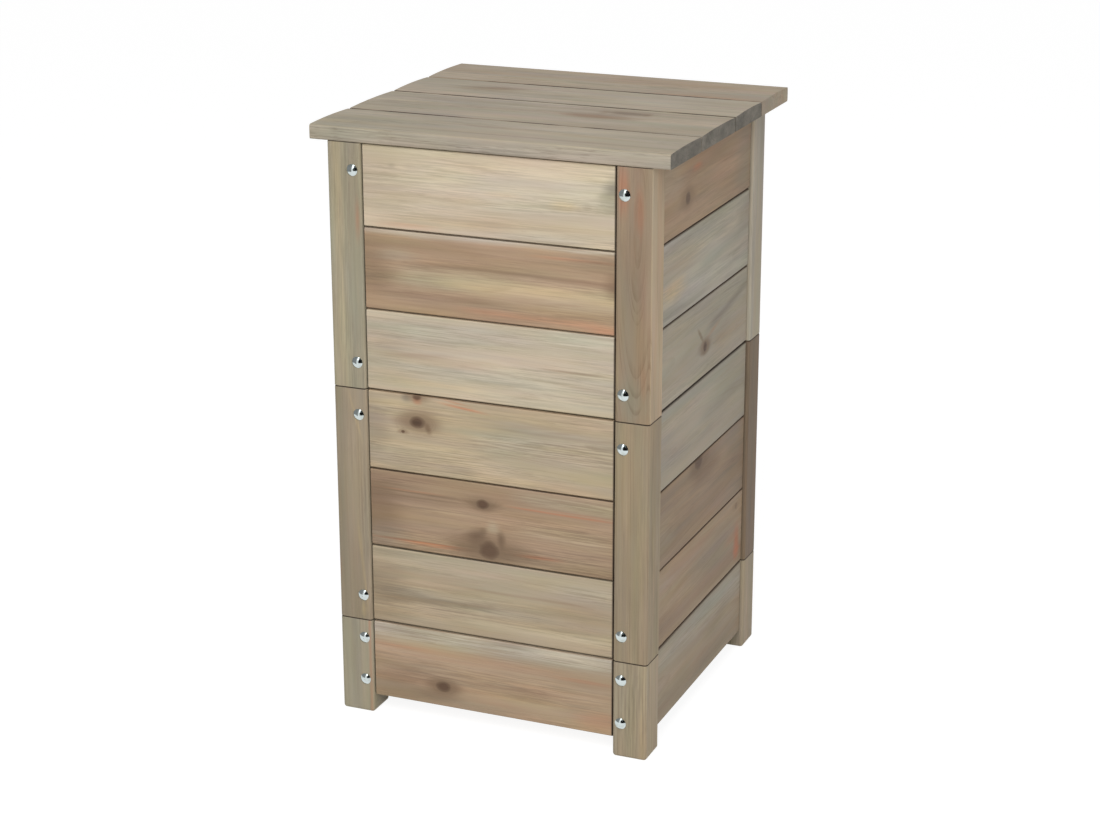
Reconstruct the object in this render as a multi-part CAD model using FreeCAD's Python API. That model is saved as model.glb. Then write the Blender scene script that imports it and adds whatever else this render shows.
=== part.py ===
import FreeCAD, Part
import math
import os

from FreeCAD import Vector

# Worm composter: a low base on four legs, two stacking boxes with slatted floors and a loose lid,
# all of rough-planed softwood. Millimetres, +Z up, the front faces -Y.
# The origin is on the floor, at the middle of the space that the whole composter takes up.

# Outside of the boxes
BOX_WIDTH = 420.0
BOX_DEPTH = 424.0
POST_SIDE = 45.0
POST_EDGE_ROUND = 4.5
POST_END_ROUND = 1.6
FOOT_ROUND = 4.4

# Wall boards
BOARD_THICKNESS = 18.0
BOARD_HEIGHT = 102.0
BASE_BOARD_HEIGHT = 103.6
BOARD_EDGE_ROUND = 2.5
BOARD_GAP = 1.3
BOARD_END_GAP = 1.5
BOARDS_PER_BOX = 3
FRONT_RECESS = 4.0
SIDE_RECESS = 5.0
BOX_END_GAP = 1.0
LEG_BELOW_BOARD = 24.0

# Battens inside the corners, flush with the inner faces of the posts
BATTEN_WIDTH = 22.0
BATTEN_EDGE_ROUND = 1.5
BATTEN_FOOT_GAP = 2.0

# Floor of each box, and the lip that drops into what is below it
BEARER_HANG = 12.0
BEARER_SEAT = 20.0
BEARER_END_PLAY = 3.0
LIP_PLAY = 2.0
LIP_HEADROOM = 2.0
SLAT_WIDTH = 40.0
SLAT_THICKNESS = 12.0
SLAT_LEAST_GAP = 7.0
SLAT_SIDE_GAP = 2.5
SLAT_END_GAP = 1.0
SLAT_EDGE_ROUND = 1.5

# Carriage bolts with washers and nuts
BOLT_DIAMETER = 6.0
BOLT_TAIL = 1.5
BOLT_TIP_CHAMFER = 0.7
HEAD_DIAMETER = 14.6
HEAD_HEIGHT = 3.6
HEAD_RIM = 0.6
NECK_OVERSIZE = 0.4
NECK_LENGTH = 4.5
HOLE_PLAY = 0.3
SOCKET_PLAY = 0.1
THREAD_PLAY = 0.15
WASHER_DIAMETER = 12.0
WASHER_THICKNESS = 1.6
NUT_ACROSS_FLATS = 10.0
NUT_HEIGHT = 5.0
NUT_CHAMFER = 0.6
BOLT_FROM_BOX_END = 34.0
BASE_BOLT_ABOVE_BOARD_FOOT = 22.0
BASE_BOLT_BELOW_TOP = 24.6

# Drip tray in the base and the bearers that carry it
TRAY_BEARER_WIDTH = 40.0
TRAY_BEARER_HEIGHT = 22.0
TRAY_HEIGHT = 58.0
TRAY_PLAY = 2.0
TRAY_WALL = 2.5
TRAY_RIM_WIDTH = 8.0
TRAY_LIP_DROP = 7.0
TRAY_DRAFT = 3.0
TRAY_CORNER_ROUND = 18.0
TRAY_FOOT_ROUND = 6.0

# Lid
LID_BOARD_WIDTHS = (106.0, 124.0, 103.0, 108.8)
LID_BOARD_THICKNESS = 19.5
LID_BOARD_GAP = 1.4
LID_CROWN = 1.2
LID_TOP_ROUND = 3.0
LID_UNDER_ROUND = 2.5
LID_SIDE_OVERHANG = 22.0
LID_FRONT_OVERHANG = 1.0
LID_BATTEN_WIDTH = 34.0
LID_BATTEN_HEIGHT = 20.0
LID_BATTEN_END_PLAY = 2.0
LID_BATTEN_SIDE_PLAY = 3.0

# Worked out from the sizes above. Half sizes are measured from the middle of the boxes.
HALF_WIDTH = BOX_WIDTH / 2
HALF_DEPTH = BOX_DEPTH / 2
POST_INNER_X = HALF_WIDTH - POST_SIDE
POST_INNER_Y = HALF_DEPTH - POST_SIDE
FRONT_BOARD_INNER_Y = HALF_DEPTH - FRONT_RECESS - BOARD_THICKNESS
SIDE_BOARD_INNER_X = HALF_WIDTH - SIDE_RECESS - BOARD_THICKNESS
BATTEN_TOP_DROP = BEARER_HANG + LIP_HEADROOM
FLOOR_TOP = BEARER_SEAT + SLAT_THICKNESS
BASE_HEIGHT = LEG_BELOW_BOARD + BASE_BOARD_HEIGHT + BOX_END_GAP
BOX_HEIGHT = BOARDS_PER_BOX * BOARD_HEIGHT + (BOARDS_PER_BOX - 1) * BOARD_GAP + 2 * BOX_END_GAP
BOLT_X = (SIDE_BOARD_INNER_X + POST_INNER_X) / 2
BOLT_RADIUS = BOLT_DIAMETER / 2
NECK_SIDE = BOLT_DIAMETER + NECK_OVERSIZE
BOLT_LENGTH = POST_SIDE + BATTEN_WIDTH + WASHER_THICKNESS + NUT_HEIGHT + BOLT_TAIL
LID_WIDTH = BOX_WIDTH + 2 * LID_SIDE_OVERHANG
LID_DEPTH = sum(LID_BOARD_WIDTHS) + (len(LID_BOARD_WIDTHS) - 1) * LID_BOARD_GAP
# The lid is nearly flush in front and overhangs at the back, so the boxes stand forward of the origin.
FRONT_REACH = max(LID_FRONT_OVERHANG, HEAD_HEIGHT)
BACK_REACH = max(LID_DEPTH - BOX_DEPTH - LID_FRONT_OVERHANG, HEAD_HEIGHT)
BOX_MIDDLE_Y = (FRONT_REACH - BACK_REACH) / 2

ACROSS = {"left": -1, "right": 1}
ALONG = {"front": -1, "back": 1}
CORNERS = [(across, along) for along in (-1, 1) for across in (-1, 1)]
# Edges this close to a level are on it, and a rounding stays this far short of its wall.
NEAR = 0.01
# A quarter circle's middle point lies this share of its radius inside the square corner.
ARC_INSET = 1 - math.sqrt(0.5)


def rounded_outline(width, depth, corner, z=0.0):
    """A closed wire round a rectangle centred on the Z axis, with its corners rounded."""
    x = width / 2
    y = depth / 2
    corner = min(corner, x - NEAR, y - NEAR)
    short = corner * ARC_INSET
    edges = []
    for turn, (a, b) in enumerate(((x, y), (y, x), (x, y), (y, x))):
        start = Vector(a, -b + corner, z)
        end = Vector(a, b - corner, z)
        arc = Part.Arc(end, Vector(a - short, b - short, z), Vector(a - corner, b, z))
        for edge in (Part.LineSegment(start, end).toShape(), arc.toShape()):
            edge.rotate(Vector(0, 0, 0), Vector(0, 0, 1), 90 * turn)
            edges.append(edge)
    return Part.Wire(Part.__sortEdges__(edges))


def edges_at(solid, z):
    """The edges of a solid that lie flat at one height."""
    return [edge for edge in solid.Edges
            if abs(edge.BoundBox.ZMin - z) < NEAR and abs(edge.BoundBox.ZMax - z) < NEAR]


def bar(x_size, y_size, z_size, long_axis, edge_round):
    """A rectangular bar centred on the origin, with its four long edges rounded."""
    sections = {"x": (z_size, y_size, x_size), "y": (x_size, z_size, y_size), "z": (x_size, y_size, z_size)}
    width, depth, length = sections[long_axis]
    solid = Part.Face(rounded_outline(width, depth, edge_round, -length / 2)).extrude(Vector(0, 0, length))
    if long_axis == "x":
        solid.rotate(Vector(0, 0, 0), Vector(0, 1, 0), 90)
    if long_axis == "y":
        solid.rotate(Vector(0, 0, 0), Vector(1, 0, 0), 90)
    return solid


def bar_between(corner, opposite, long_axis, edge_round):
    """A rounded bar that fills the box between two opposite corners."""
    low = Vector(*map(min, corner, opposite))
    high = Vector(*map(max, corner, opposite))
    size = high - low
    solid = bar(size.x, size.y, size.z, long_axis, edge_round)
    solid.translate((low + high) / 2)
    return solid


def save(node, solids):
    """Write one node, moved from the middle of the boxes to the origin of the whole composter."""
    shape = solids[0] if len(solids) == 1 else Part.makeCompound(solids)
    shape = shape.copy()
    shape.translate(Vector(0, BOX_MIDDLE_Y, 0))
    shape.exportStep("parts/%s.step" % node)


def facing(shape, along, x, z):
    """Turn a piece made along Z to face out of the front or the back, and put it on that face."""
    placed = shape.copy()
    placed.rotate(Vector(0, 0, 0), Vector(1, 0, 0), -90 * along)
    placed.translate(Vector(x, along * HALF_DEPTH, z))
    return placed


def square_neck(side, length):
    """A square block that hangs from Z = 0, centred on the Z axis."""
    return Part.makeBox(side, side, length, Vector(-side / 2, -side / 2, -length))


def carriage_bolt():
    """A domed bolt with a square neck. The head is above Z = 0 and the shank below it."""
    head = HEAD_DIAMETER / 2
    dome = HEAD_HEIGHT - HEAD_RIM
    sphere = (head ** 2 + dome ** 2) / (2 * dome)
    middle_angle = math.asin(head / sphere) / 2
    on_dome = Vector(sphere * math.sin(middle_angle), 0, HEAD_HEIGHT - sphere * (1 - math.cos(middle_angle)))
    top = Vector(0, 0, HEAD_HEIGHT)
    rim = Vector(head, 0, HEAD_RIM)
    outline = [rim, Vector(head, 0, 0), Vector(BOLT_RADIUS, 0, 0),
               Vector(BOLT_RADIUS, 0, BOLT_TIP_CHAMFER - BOLT_LENGTH),
               Vector(BOLT_RADIUS - BOLT_TIP_CHAMFER, 0, -BOLT_LENGTH), Vector(0, 0, -BOLT_LENGTH), top]
    edges = [Part.Arc(top, on_dome, rim).toShape()] + Part.makePolygon(outline).Edges
    turned = Part.Face(Part.Wire(edges)).revolve(Vector(0, 0, 0), Vector(0, 0, 1), 360)
    return turned.fuse(square_neck(NECK_SIDE, NECK_LENGTH)).removeSplitter().Solids[0]


def washer():
    """A flat washer whose upper face meets the inside of the bolted batten."""
    top = -POST_SIDE - BATTEN_WIDTH
    foot = Vector(0, 0, top - WASHER_THICKNESS)
    ring = Part.makeCylinder(WASHER_DIAMETER / 2, WASHER_THICKNESS, foot)
    return ring.cut(Part.makeCylinder(BOLT_RADIUS + THREAD_PLAY, WASHER_THICKNESS, foot))


def hex_nut():
    """A hexagon nut with chamfered corners, tight against the washer."""
    top = -POST_SIDE - BATTEN_WIDTH - WASHER_THICKNESS
    foot = Vector(0, 0, top - NUT_HEIGHT)
    corner = NUT_ACROSS_FLATS / math.sqrt(3)
    angles = [math.radians(60 * i) for i in range(7)]
    points = [foot + Vector(corner * math.cos(a), corner * math.sin(a), 0) for a in angles]
    prism = Part.Face(Part.makePolygon(points)).extrude(Vector(0, 0, NUT_HEIGHT))
    chamfered = Part.makeCylinder(corner, NUT_HEIGHT, foot)
    for z in (foot.z, top):
        chamfered = chamfered.makeChamfer(NUT_CHAMFER, edges_at(chamfered, z))
    bore = Part.makeCylinder(BOLT_RADIUS + THREAD_PLAY, NUT_HEIGHT, foot)
    return prism.common(chamfered).cut(bore).Solids[0]


def bolt_hole():
    """The room that one bolt needs: a round hole, with a square socket for the neck under the head."""
    radius = BOLT_RADIUS + HOLE_PLAY
    depth = POST_SIDE + BATTEN_WIDTH
    side = NECK_SIDE + 2 * SOCKET_PLAY
    socket_depth = NECK_LENGTH + SOCKET_PLAY
    hole = Part.makeCylinder(radius, depth, Vector(0, 0, -depth))
    return hole.fuse(square_neck(side, socket_depth))


BOLT = carriage_bolt()
WASHER = washer()
NUT = hex_nut()
HOLE = bolt_hole()


def bolt_places(bolt_heights):
    """Face, distance from the middle and height of every bolt of a section."""
    return [(along, across * BOLT_X, z) for across, along in CORNERS for z in bolt_heights]


def drilled(solid, across, along, bolt_heights):
    """Drill a post or a batten for the bolts of its own corner."""
    for z in bolt_heights:
        solid = solid.cut(facing(HOLE, along, across * BOLT_X, z))
    return solid.Solids[0]


def post(across, along, bottom, height, foot_round, bolt_heights):
    """A corner post with rounded edges and ends, drilled for its bolts."""
    solid = bar_between((across * POST_INNER_X, along * POST_INNER_Y, bottom),
                        (across * HALF_WIDTH, along * HALF_DEPTH, bottom + height), "z", POST_EDGE_ROUND)
    for z, end_round in ((bottom, foot_round), (bottom + height, POST_END_ROUND)):
        solid = solid.makeFillet(min(end_round, POST_EDGE_ROUND - NEAR), edges_at(solid, z))
    return drilled(solid, across, along, bolt_heights)


def front_board(along, bottom, height):
    """A wall board between the two posts of the front or the back."""
    half_length = POST_INNER_X - BOARD_END_GAP
    return bar_between((-half_length, along * FRONT_BOARD_INNER_Y, bottom),
                       (half_length, along * (HALF_DEPTH - FRONT_RECESS), bottom + height),
                       "x", BOARD_EDGE_ROUND)


def side_board(across, bottom, height):
    """A wall board between the front and the back post of one side."""
    half_length = POST_INNER_Y - BOARD_END_GAP
    return bar_between((across * SIDE_BOARD_INNER_X, -half_length, bottom),
                       (across * (HALF_WIDTH - SIDE_RECESS), half_length, bottom + height),
                       "y", BOARD_EDGE_ROUND)


def bolted_batten(across, along, bottom, top, bolt_heights):
    """The batten that carries the ends of the side boards and takes the bolts through the post."""
    solid = bar_between((across * POST_INNER_X, along * POST_INNER_Y, bottom),
                        (across * SIDE_BOARD_INNER_X, along * (POST_INNER_Y - BATTEN_WIDTH), top),
                        "z", BATTEN_EDGE_ROUND)
    return drilled(solid, across, along, bolt_heights)


def panel_batten(across, along, bottom, top):
    """The batten that ties the ends of the front or back boards to the inner face of a post."""
    return bar_between((across * POST_INNER_X, along * POST_INNER_Y, bottom),
                       (across * (POST_INNER_X - BATTEN_WIDTH), along * FRONT_BOARD_INNER_Y, top),
                       "z", BATTEN_EDGE_ROUND)


def lipped_bearer(along, bottom):
    """A floor bearer along the front or the back, whose rebated lip drops into the section below."""
    lip_top = bottom + BOX_END_GAP
    seat = bottom + BEARER_SEAT
    foot = bottom - BEARER_HANG
    outer = along * FRONT_BOARD_INNER_Y
    lip = along * (FRONT_BOARD_INNER_Y - LIP_PLAY)
    inner = along * POST_INNER_Y
    half_length = POST_INNER_X - BEARER_END_PLAY
    section = [(inner, foot), (lip, foot), (lip, lip_top), (outer, lip_top), (outer, seat), (inner, seat)]
    points = [Vector(-half_length, y, z) for y, z in section]
    return Part.Face(Part.makePolygon(points + points[:1])).extrude(Vector(2 * half_length, 0, 0))


def side_bearer(across, bottom):
    """The strip that closes the floor along one side, between the bolted battens."""
    half_length = POST_INNER_Y - BATTEN_WIDTH
    return bar_between((across * POST_INNER_X, -half_length, bottom + BATTEN_FOOT_GAP),
                       (across * SIDE_BOARD_INNER_X, half_length, bottom + BEARER_SEAT),
                       "y", BATTEN_EDGE_ROUND)


def floor_slats(bottom):
    """As many slats as fit side by side, evenly spread, with gaps that worms and water pass through."""
    room = 2 * (POST_INNER_X - SLAT_SIDE_GAP)
    count = int((room + SLAT_LEAST_GAP) // (SLAT_WIDTH + SLAT_LEAST_GAP))
    pitch = (room - SLAT_WIDTH) / max(count - 1, 1)
    half_length = FRONT_BOARD_INNER_Y - SLAT_END_GAP
    seat = bottom + BEARER_SEAT
    slats = []
    for i in range(count):
        x = i * pitch - room / 2
        slats.append(bar_between((x, -half_length, seat), (x + SLAT_WIDTH, half_length, bottom + FLOOR_TOP),
                                 "y", SLAT_EDGE_ROUND))
    return slats


def save_fasteners(section, bolt_heights):
    """The bolts of a section, and the washers and nuts on their inner ends."""
    places = bolt_places(bolt_heights)
    save(section + "_bolts", [facing(BOLT, *place) for place in places])
    save(section + "_nuts", [facing(piece, *place) for place in places for piece in (WASHER, NUT)])


def save_posts(section, name, bottom, height, foot_round, bolt_heights):
    """The four corner posts of a section."""
    for side, across in ACROSS.items():
        for face, along in ALONG.items():
            solid = post(across, along, bottom, height, foot_round, bolt_heights)
            save("%s_%s_%s_%s" % (section, name, face, side), [solid])


def make_base():
    """Legs, one row of boards, bolted battens and the bearers that carry the drip tray."""
    board_bottom = LEG_BELOW_BOARD
    bolt_heights = (board_bottom + BASE_BOLT_ABOVE_BOARD_FOOT, BASE_HEIGHT - BASE_BOLT_BELOW_TOP)
    save_posts("base", "leg", 0, BASE_HEIGHT, FOOT_ROUND, bolt_heights)
    for face, along in ALONG.items():
        save("base_%s_board" % face, [front_board(along, board_bottom, BASE_BOARD_HEIGHT)])
    for side, across in ACROSS.items():
        save("base_%s_board" % side, [side_board(across, board_bottom, BASE_BOARD_HEIGHT)])
    save("base_battens", [bolted_batten(across, along, board_bottom + BATTEN_FOOT_GAP,
                                        BASE_HEIGHT - BATTEN_TOP_DROP, bolt_heights)
                          for across, along in CORNERS])
    save("base_tray_bearers", [tray_bearer(along, board_bottom) for along in ALONG.values()])
    save_fasteners("base", bolt_heights)
    save("drip_tray", [drip_tray(board_bottom + TRAY_BEARER_HEIGHT)])


def tray_bearer(along, bottom):
    """A bearer from leg to leg behind the front or back board of the base."""
    inner = along * (FRONT_BOARD_INNER_Y - TRAY_BEARER_WIDTH)
    return bar_between((-POST_INNER_X, along * FRONT_BOARD_INNER_Y, bottom),
                       (POST_INNER_X, inner, bottom + TRAY_BEARER_HEIGHT), "x", BATTEN_EDGE_ROUND)


def tray_tub(inset, bottom, top, foot_round):
    """A tub with drafted walls and rounded foot, set in by a wall thickness for the inside."""
    rim_inset = 2 * (TRAY_RIM_WIDTH + inset)
    width = 2 * (POST_INNER_X - TRAY_PLAY) - rim_inset
    depth = 2 * (FRONT_BOARD_INNER_Y - TRAY_PLAY) - rim_inset
    draft = 2 * (top - bottom) * math.tan(math.radians(TRAY_DRAFT))
    corner = TRAY_CORNER_ROUND - inset
    tub = Part.makeLoft([rounded_outline(width - draft, depth - draft, corner, bottom),
                         rounded_outline(width, depth, corner, top)], True, True)
    return tub.makeFillet(foot_round, edges_at(tub, bottom))


def drip_tray(bottom):
    """A moulded tray with a flat rim and a turned-down lip, lying loose on its bearers."""
    top = bottom + TRAY_HEIGHT
    width = 2 * (POST_INNER_X - TRAY_PLAY)
    depth = 2 * (FRONT_BOARD_INNER_Y - TRAY_PLAY)
    corner = TRAY_CORNER_ROUND + TRAY_RIM_WIDTH
    wall = 2 * TRAY_WALL
    brim = Part.Face(rounded_outline(width, depth, corner, top - TRAY_LIP_DROP))
    under = Part.Face(rounded_outline(width - wall, depth - wall, corner - TRAY_WALL, top - TRAY_LIP_DROP))
    rim = brim.extrude(Vector(0, 0, TRAY_LIP_DROP))
    rim = rim.cut(under.extrude(Vector(0, 0, TRAY_LIP_DROP - TRAY_WALL)))
    tray = tray_tub(0, bottom, top, TRAY_FOOT_ROUND).fuse(rim)
    inside = tray_tub(TRAY_WALL, bottom + TRAY_WALL, top, TRAY_FOOT_ROUND - TRAY_WALL)
    return tray.cut(inside).removeSplitter().Solids[0]


def make_box(section, bottom):
    """One stacking box: posts, boards on four sides, battens, a slatted floor and bolts."""
    top = bottom + BOX_HEIGHT
    bolt_heights = (bottom + BOLT_FROM_BOX_END, top - BOLT_FROM_BOX_END)
    save_posts(section, "post", bottom, BOX_HEIGHT, POST_END_ROUND, bolt_heights)
    for row in range(BOARDS_PER_BOX):
        board_bottom = bottom + BOX_END_GAP + row * (BOARD_HEIGHT + BOARD_GAP)
        for face, along in ALONG.items():
            board = front_board(along, board_bottom, BOARD_HEIGHT)
            save("%s_%s_board_%d" % (section, face, row + 1), [board])
        for side, across in ACROSS.items():
            board = side_board(across, board_bottom, BOARD_HEIGHT)
            save("%s_%s_board_%d" % (section, side, row + 1), [board])
    batten_top = top - BATTEN_TOP_DROP
    battens = [bolted_batten(across, along, bottom + BATTEN_FOOT_GAP, batten_top, bolt_heights)
               for across, along in CORNERS]
    battens += [panel_batten(across, along, bottom + FLOOR_TOP, batten_top) for across, along in CORNERS]
    save(section + "_battens", battens)
    save(section + "_floor_bearers", [lipped_bearer(along, bottom) for along in ALONG.values()]
         + [side_bearer(across, bottom) for across in ACROSS.values()])
    save(section + "_floor_slats", floor_slats(bottom))
    save_fasteners(section, bolt_heights)


def lid_board(width):
    """A lid board along X: flat below, slightly crowned on top, with rounded edges."""
    half = width / 2
    shoulder = LID_BOARD_THICKNESS - LID_CROWN
    upper = LID_TOP_ROUND
    under = LID_UNDER_ROUND

    def at(y, z):
        return Vector(-LID_WIDTH / 2, y, z)

    def edge_curves(sign):
        top_arc = Part.Arc(at(sign * (half - upper), shoulder),
                           at(sign * (half - upper * ARC_INSET), shoulder - upper * ARC_INSET),
                           at(sign * half, shoulder - upper))
        under_arc = Part.Arc(at(sign * half, under), at(sign * (half - under * ARC_INSET), under * ARC_INSET),
                             at(sign * (half - under), 0))
        upright = Part.LineSegment(at(sign * half, shoulder - upper), at(sign * half, under))
        return [top_arc, upright, under_arc]

    crown = Part.Arc(at(upper - half, shoulder), at(0, LID_BOARD_THICKNESS), at(half - upper, shoulder))
    flat = Part.LineSegment(at(under - half, 0), at(half - under, 0))
    edges = [curve.toShape() for curve in edge_curves(1) + edge_curves(-1) + [crown, flat]]
    return Part.Face(Part.Wire(Part.__sortEdges__(edges))).extrude(Vector(LID_WIDTH, 0, 0))


def lid_batten(across, top):
    """A batten under the lid that drops between the front and back boards of the upper box."""
    outer = POST_INNER_X - BATTEN_WIDTH - LID_BATTEN_SIDE_PLAY
    half_length = FRONT_BOARD_INNER_Y - LID_BATTEN_END_PLAY
    return bar_between((across * outer, -half_length, top - LID_BATTEN_HEIGHT),
                       (across * (outer - LID_BATTEN_WIDTH), half_length, top), "y", BATTEN_EDGE_ROUND)


def make_lid(bottom):
    """Boards side by side from the front edge to the back, on two battens."""
    front = -HALF_DEPTH - LID_FRONT_OVERHANG
    for i, width in enumerate(LID_BOARD_WIDTHS):
        board = lid_board(width)
        board.translate(Vector(0, front + width / 2, bottom))
        save("lid_board_%d" % (i + 1), [board])
        front += width + LID_BOARD_GAP
    save("lid_battens", [lid_batten(across, bottom) for across in ACROSS.values()])


os.makedirs("parts", exist_ok=True)
make_base()
make_box("lower", BASE_HEIGHT)
make_box("upper", BASE_HEIGHT + BOX_HEIGHT)
make_lid(BASE_HEIGHT + 2 * BOX_HEIGHT)
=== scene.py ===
"""Stain, steel, plastic, wood screws and studio for a stacking wooden worm composter.

The packed frame gives every board, post, slat, bolt and tray its shape and place. The operators below
stain the timber board by board, plate the steel, texture the tray, drive the wood screws that hold the
boards to their battens, and set up a plain studio round the result.
"""
import math
import random
from functools import partial
from typing import NamedTuple

import bmesh
import bpy
from bpy.props import FloatProperty, FloatVectorProperty, IntProperty, PointerProperty
from bpy.types import Operator, Panel, PropertyGroup
from mathutils import Euler, Matrix, Vector


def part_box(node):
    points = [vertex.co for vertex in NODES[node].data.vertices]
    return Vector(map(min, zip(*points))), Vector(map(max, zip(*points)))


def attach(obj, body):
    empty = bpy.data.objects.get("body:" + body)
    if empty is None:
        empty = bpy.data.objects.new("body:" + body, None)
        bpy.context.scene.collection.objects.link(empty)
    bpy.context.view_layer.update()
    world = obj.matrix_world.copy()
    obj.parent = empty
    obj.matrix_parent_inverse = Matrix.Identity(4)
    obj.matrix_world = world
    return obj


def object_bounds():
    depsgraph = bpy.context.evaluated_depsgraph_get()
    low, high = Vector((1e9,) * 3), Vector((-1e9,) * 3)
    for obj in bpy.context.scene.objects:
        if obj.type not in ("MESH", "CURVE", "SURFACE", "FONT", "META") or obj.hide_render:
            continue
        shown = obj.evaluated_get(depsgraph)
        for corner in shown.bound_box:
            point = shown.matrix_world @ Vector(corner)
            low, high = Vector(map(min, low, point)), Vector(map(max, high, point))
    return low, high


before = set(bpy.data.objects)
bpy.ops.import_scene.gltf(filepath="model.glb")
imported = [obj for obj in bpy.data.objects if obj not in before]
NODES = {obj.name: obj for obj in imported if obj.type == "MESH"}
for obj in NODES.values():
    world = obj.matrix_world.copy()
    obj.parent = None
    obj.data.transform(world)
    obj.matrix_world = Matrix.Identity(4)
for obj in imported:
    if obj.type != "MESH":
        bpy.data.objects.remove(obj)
CAD_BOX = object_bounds()

bl_info = {
    "name": "Worm Composter",
    "version": (1, 0, 0),
    "blender": (4, 5, 0),
    "location": "View3D > Sidebar > Composter",
    "description": "Finishes a stacking wooden worm composter and sets up its studio",
    "category": "Object",
}

MM = 0.001
SECTIONS = ("base", "lower", "upper")
BODY_OF_SECTION = {"base": "base", "lower": "lower_box", "upper": "upper_box"}
WHITE = (1.0, 1.0, 1.0, 1.0)
CURVE_OFFSET, CURVE_POWER = 0.055, 2.4


def linear(*values):
    """A colour as it looks on a display, 0 to 255, turned into the linear values of a shader."""
    return [((value / 255 + CURVE_OFFSET) / (1 + CURVE_OFFSET)) ** CURVE_POWER for value in values]


def tone(name, description, *values):
    """A stain or finish colour that a user may change."""
    return FloatVectorProperty(name=name, description=description, subtype="COLOR", size=3,
                               min=0.0, max=1.0, default=linear(*values))


def length(name, description, millimetres):
    """A length that a user may change."""
    return FloatProperty(name=name, description=description, default=millimetres * MM,
                         unit="LENGTH", subtype="DISTANCE", precision=5)


def share(name, description, default):
    """A share from 0 to 1 that a user may change."""
    return FloatProperty(name=name, description=description, default=default, min=0.0, max=1.0,
                         subtype="FACTOR")


def angle(name, description, degrees):
    """An angle that a user may change."""
    return FloatProperty(name=name, description=description, default=math.radians(degrees), subtype="ANGLE")


def power(name, description, watts):
    """The power of a lamp that a user may change."""
    return FloatProperty(name=name, description=description, default=watts, min=0.0,
                         subtype="POWER", unit="POWER")


class ComposterTimber(PropertyGroup):
    """Tones of the grey-brown stain and the scale of the grain."""
    pale: tone("Pale", "Lightest sapwood under the stain", 203, 188, 164)
    ash: tone("Ash", "Pale grey wood", 186, 178, 162)
    straw: tone("Straw", "Yellowish wood", 199, 178, 142)
    tan: tone("Tan", "Middle tan of most boards", 181, 164, 139)
    moss: tone("Moss", "Grey-green of the treated posts", 166, 158, 136)
    clay: tone("Clay", "Reddish brown heartwood", 175, 149, 122)
    umber: tone("Umber", "Dark brown streaks", 137, 114, 91)
    russet: tone("Russet", "Orange resin streaks", 194, 128, 94)
    slate: tone("Slate", "Dark grey streaks", 139, 131, 117)
    driftwood: tone("Driftwood", "Grey-brown of the lid", 174, 161, 141)
    knot: tone("Knot", "Heart of a knot", 90, 69, 54)
    sawn_end: tone("Sawn end", "Stain soaked into end grain", 117, 112, 102)
    gap: tone("Gap", "Dirt and shade in the joints", 62, 51, 41)
    inside: tone("Inside", "Rough timber inside the boxes", 190, 170, 140)
    ring_spacing: length("Ring spacing", "Mean width of one growth ring", 3.4)
    fibre_width: length("Fibre width", "Width of the fine lines in the grain", 1.8)
    fibre_length: length("Fibre length", "Length of the fine lines in the grain", 70.0)
    dash_width: length("Dash width", "Width of the short dark pores", 2.0)
    dash_length: length("Dash length", "Length of the short dark pores", 17.0)
    # Rounded edges are lightened by this share: partly worn stain, partly a painted highlight where the
    # rounding catches the light
    wear: share("Wear", "How much lighter the worn edges are", 0.10)
    relief: length("Relief", "Depth of the planed grain", 0.25)
    saw_pitch: length("Saw pitch", "Distance between saw marks on rough timber", 2.6)
    gloss: share("Gloss", "Specular level of the stain", 0.28)


class ComposterSteel(PropertyGroup):
    """Zinc-plated bolts, nuts and screws."""
    zinc: tone("Zinc", "Clean zinc plating", 202, 211, 211)
    dull: tone("Dull zinc", "Plating dulled by handling", 186, 194, 190)
    bright: share("Bright", "Roughness of polished plating", 0.05)
    worn: share("Worn", "Roughness of dulled plating", 0.13)
    screw_head: length("Screw head", "Diameter of a countersunk screw head", 8.0)
    screw_shank: length("Screw shank", "Diameter of a wood screw under its head", 3.8)
    screw_depth: length("Screw depth", "Depth of the countersunk part", 3.0)
    screw_proud: length("Screw proud", "How far a head stands out of the wood", 0.25)
    screw_round: length("Screw round", "Width of the broken edge round a head", 0.3)
    cross_length: length("Cross length", "Length of one slot of the cross recess", 4.4)
    cross_width: length("Cross width", "Width of one slot of the cross recess", 1.1)
    cross_depth: length("Cross depth", "Depth of the cross recess", 1.7)
    cross_taper: share("Cross taper", "Size of the recess at its floor", 0.45)
    segments: IntProperty(name="Segments", description="Sides of the round screw heads", default=24, min=8)


class ComposterTray(PropertyGroup):
    """Moulded plastic of the drip tray."""
    plastic: tone("Plastic", "Dark moulded plastic", 54, 56, 58)
    bloom: tone("Bloom", "Pale film left by dried liquid", 92, 88, 78)
    grain: length("Grain", "Size of the moulded texture", 0.9)
    relief: length("Relief", "Depth of the moulded texture", 0.12)


class ComposterStudio(PropertyGroup):
    """Camera, floor and lamps."""
    lens: FloatProperty(name="Lens", description="Focal length on a 36 mm wide sensor", default=80.13,
                        min=1.0, subtype="DISTANCE_CAMERA")
    eye: FloatVectorProperty(name="Eye", description="Place of the camera", subtype="TRANSLATION",
                             unit="LENGTH", default=(1.1583, -2.8026, 1.3628))
    azimuth: angle("Azimuth", "Turn of the camera to the right of the front", 22.626)
    elevation: angle("Elevation", "How far the camera looks down", 18.243)
    roll: angle("Roll", "Tilt of the camera about its own axis", -0.094)
    floor: tone("Floor", "Pale floor that bounces light", 232, 232, 230)
    sky: FloatProperty(name="Sky", description="Strength of the even light all round", default=0.38, min=0.0)
    key: power("Key", "Power of the large lamp in front", 59.5)
    fill: power("Fill", "Power of the soft lamp at right", 9.0)


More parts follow.
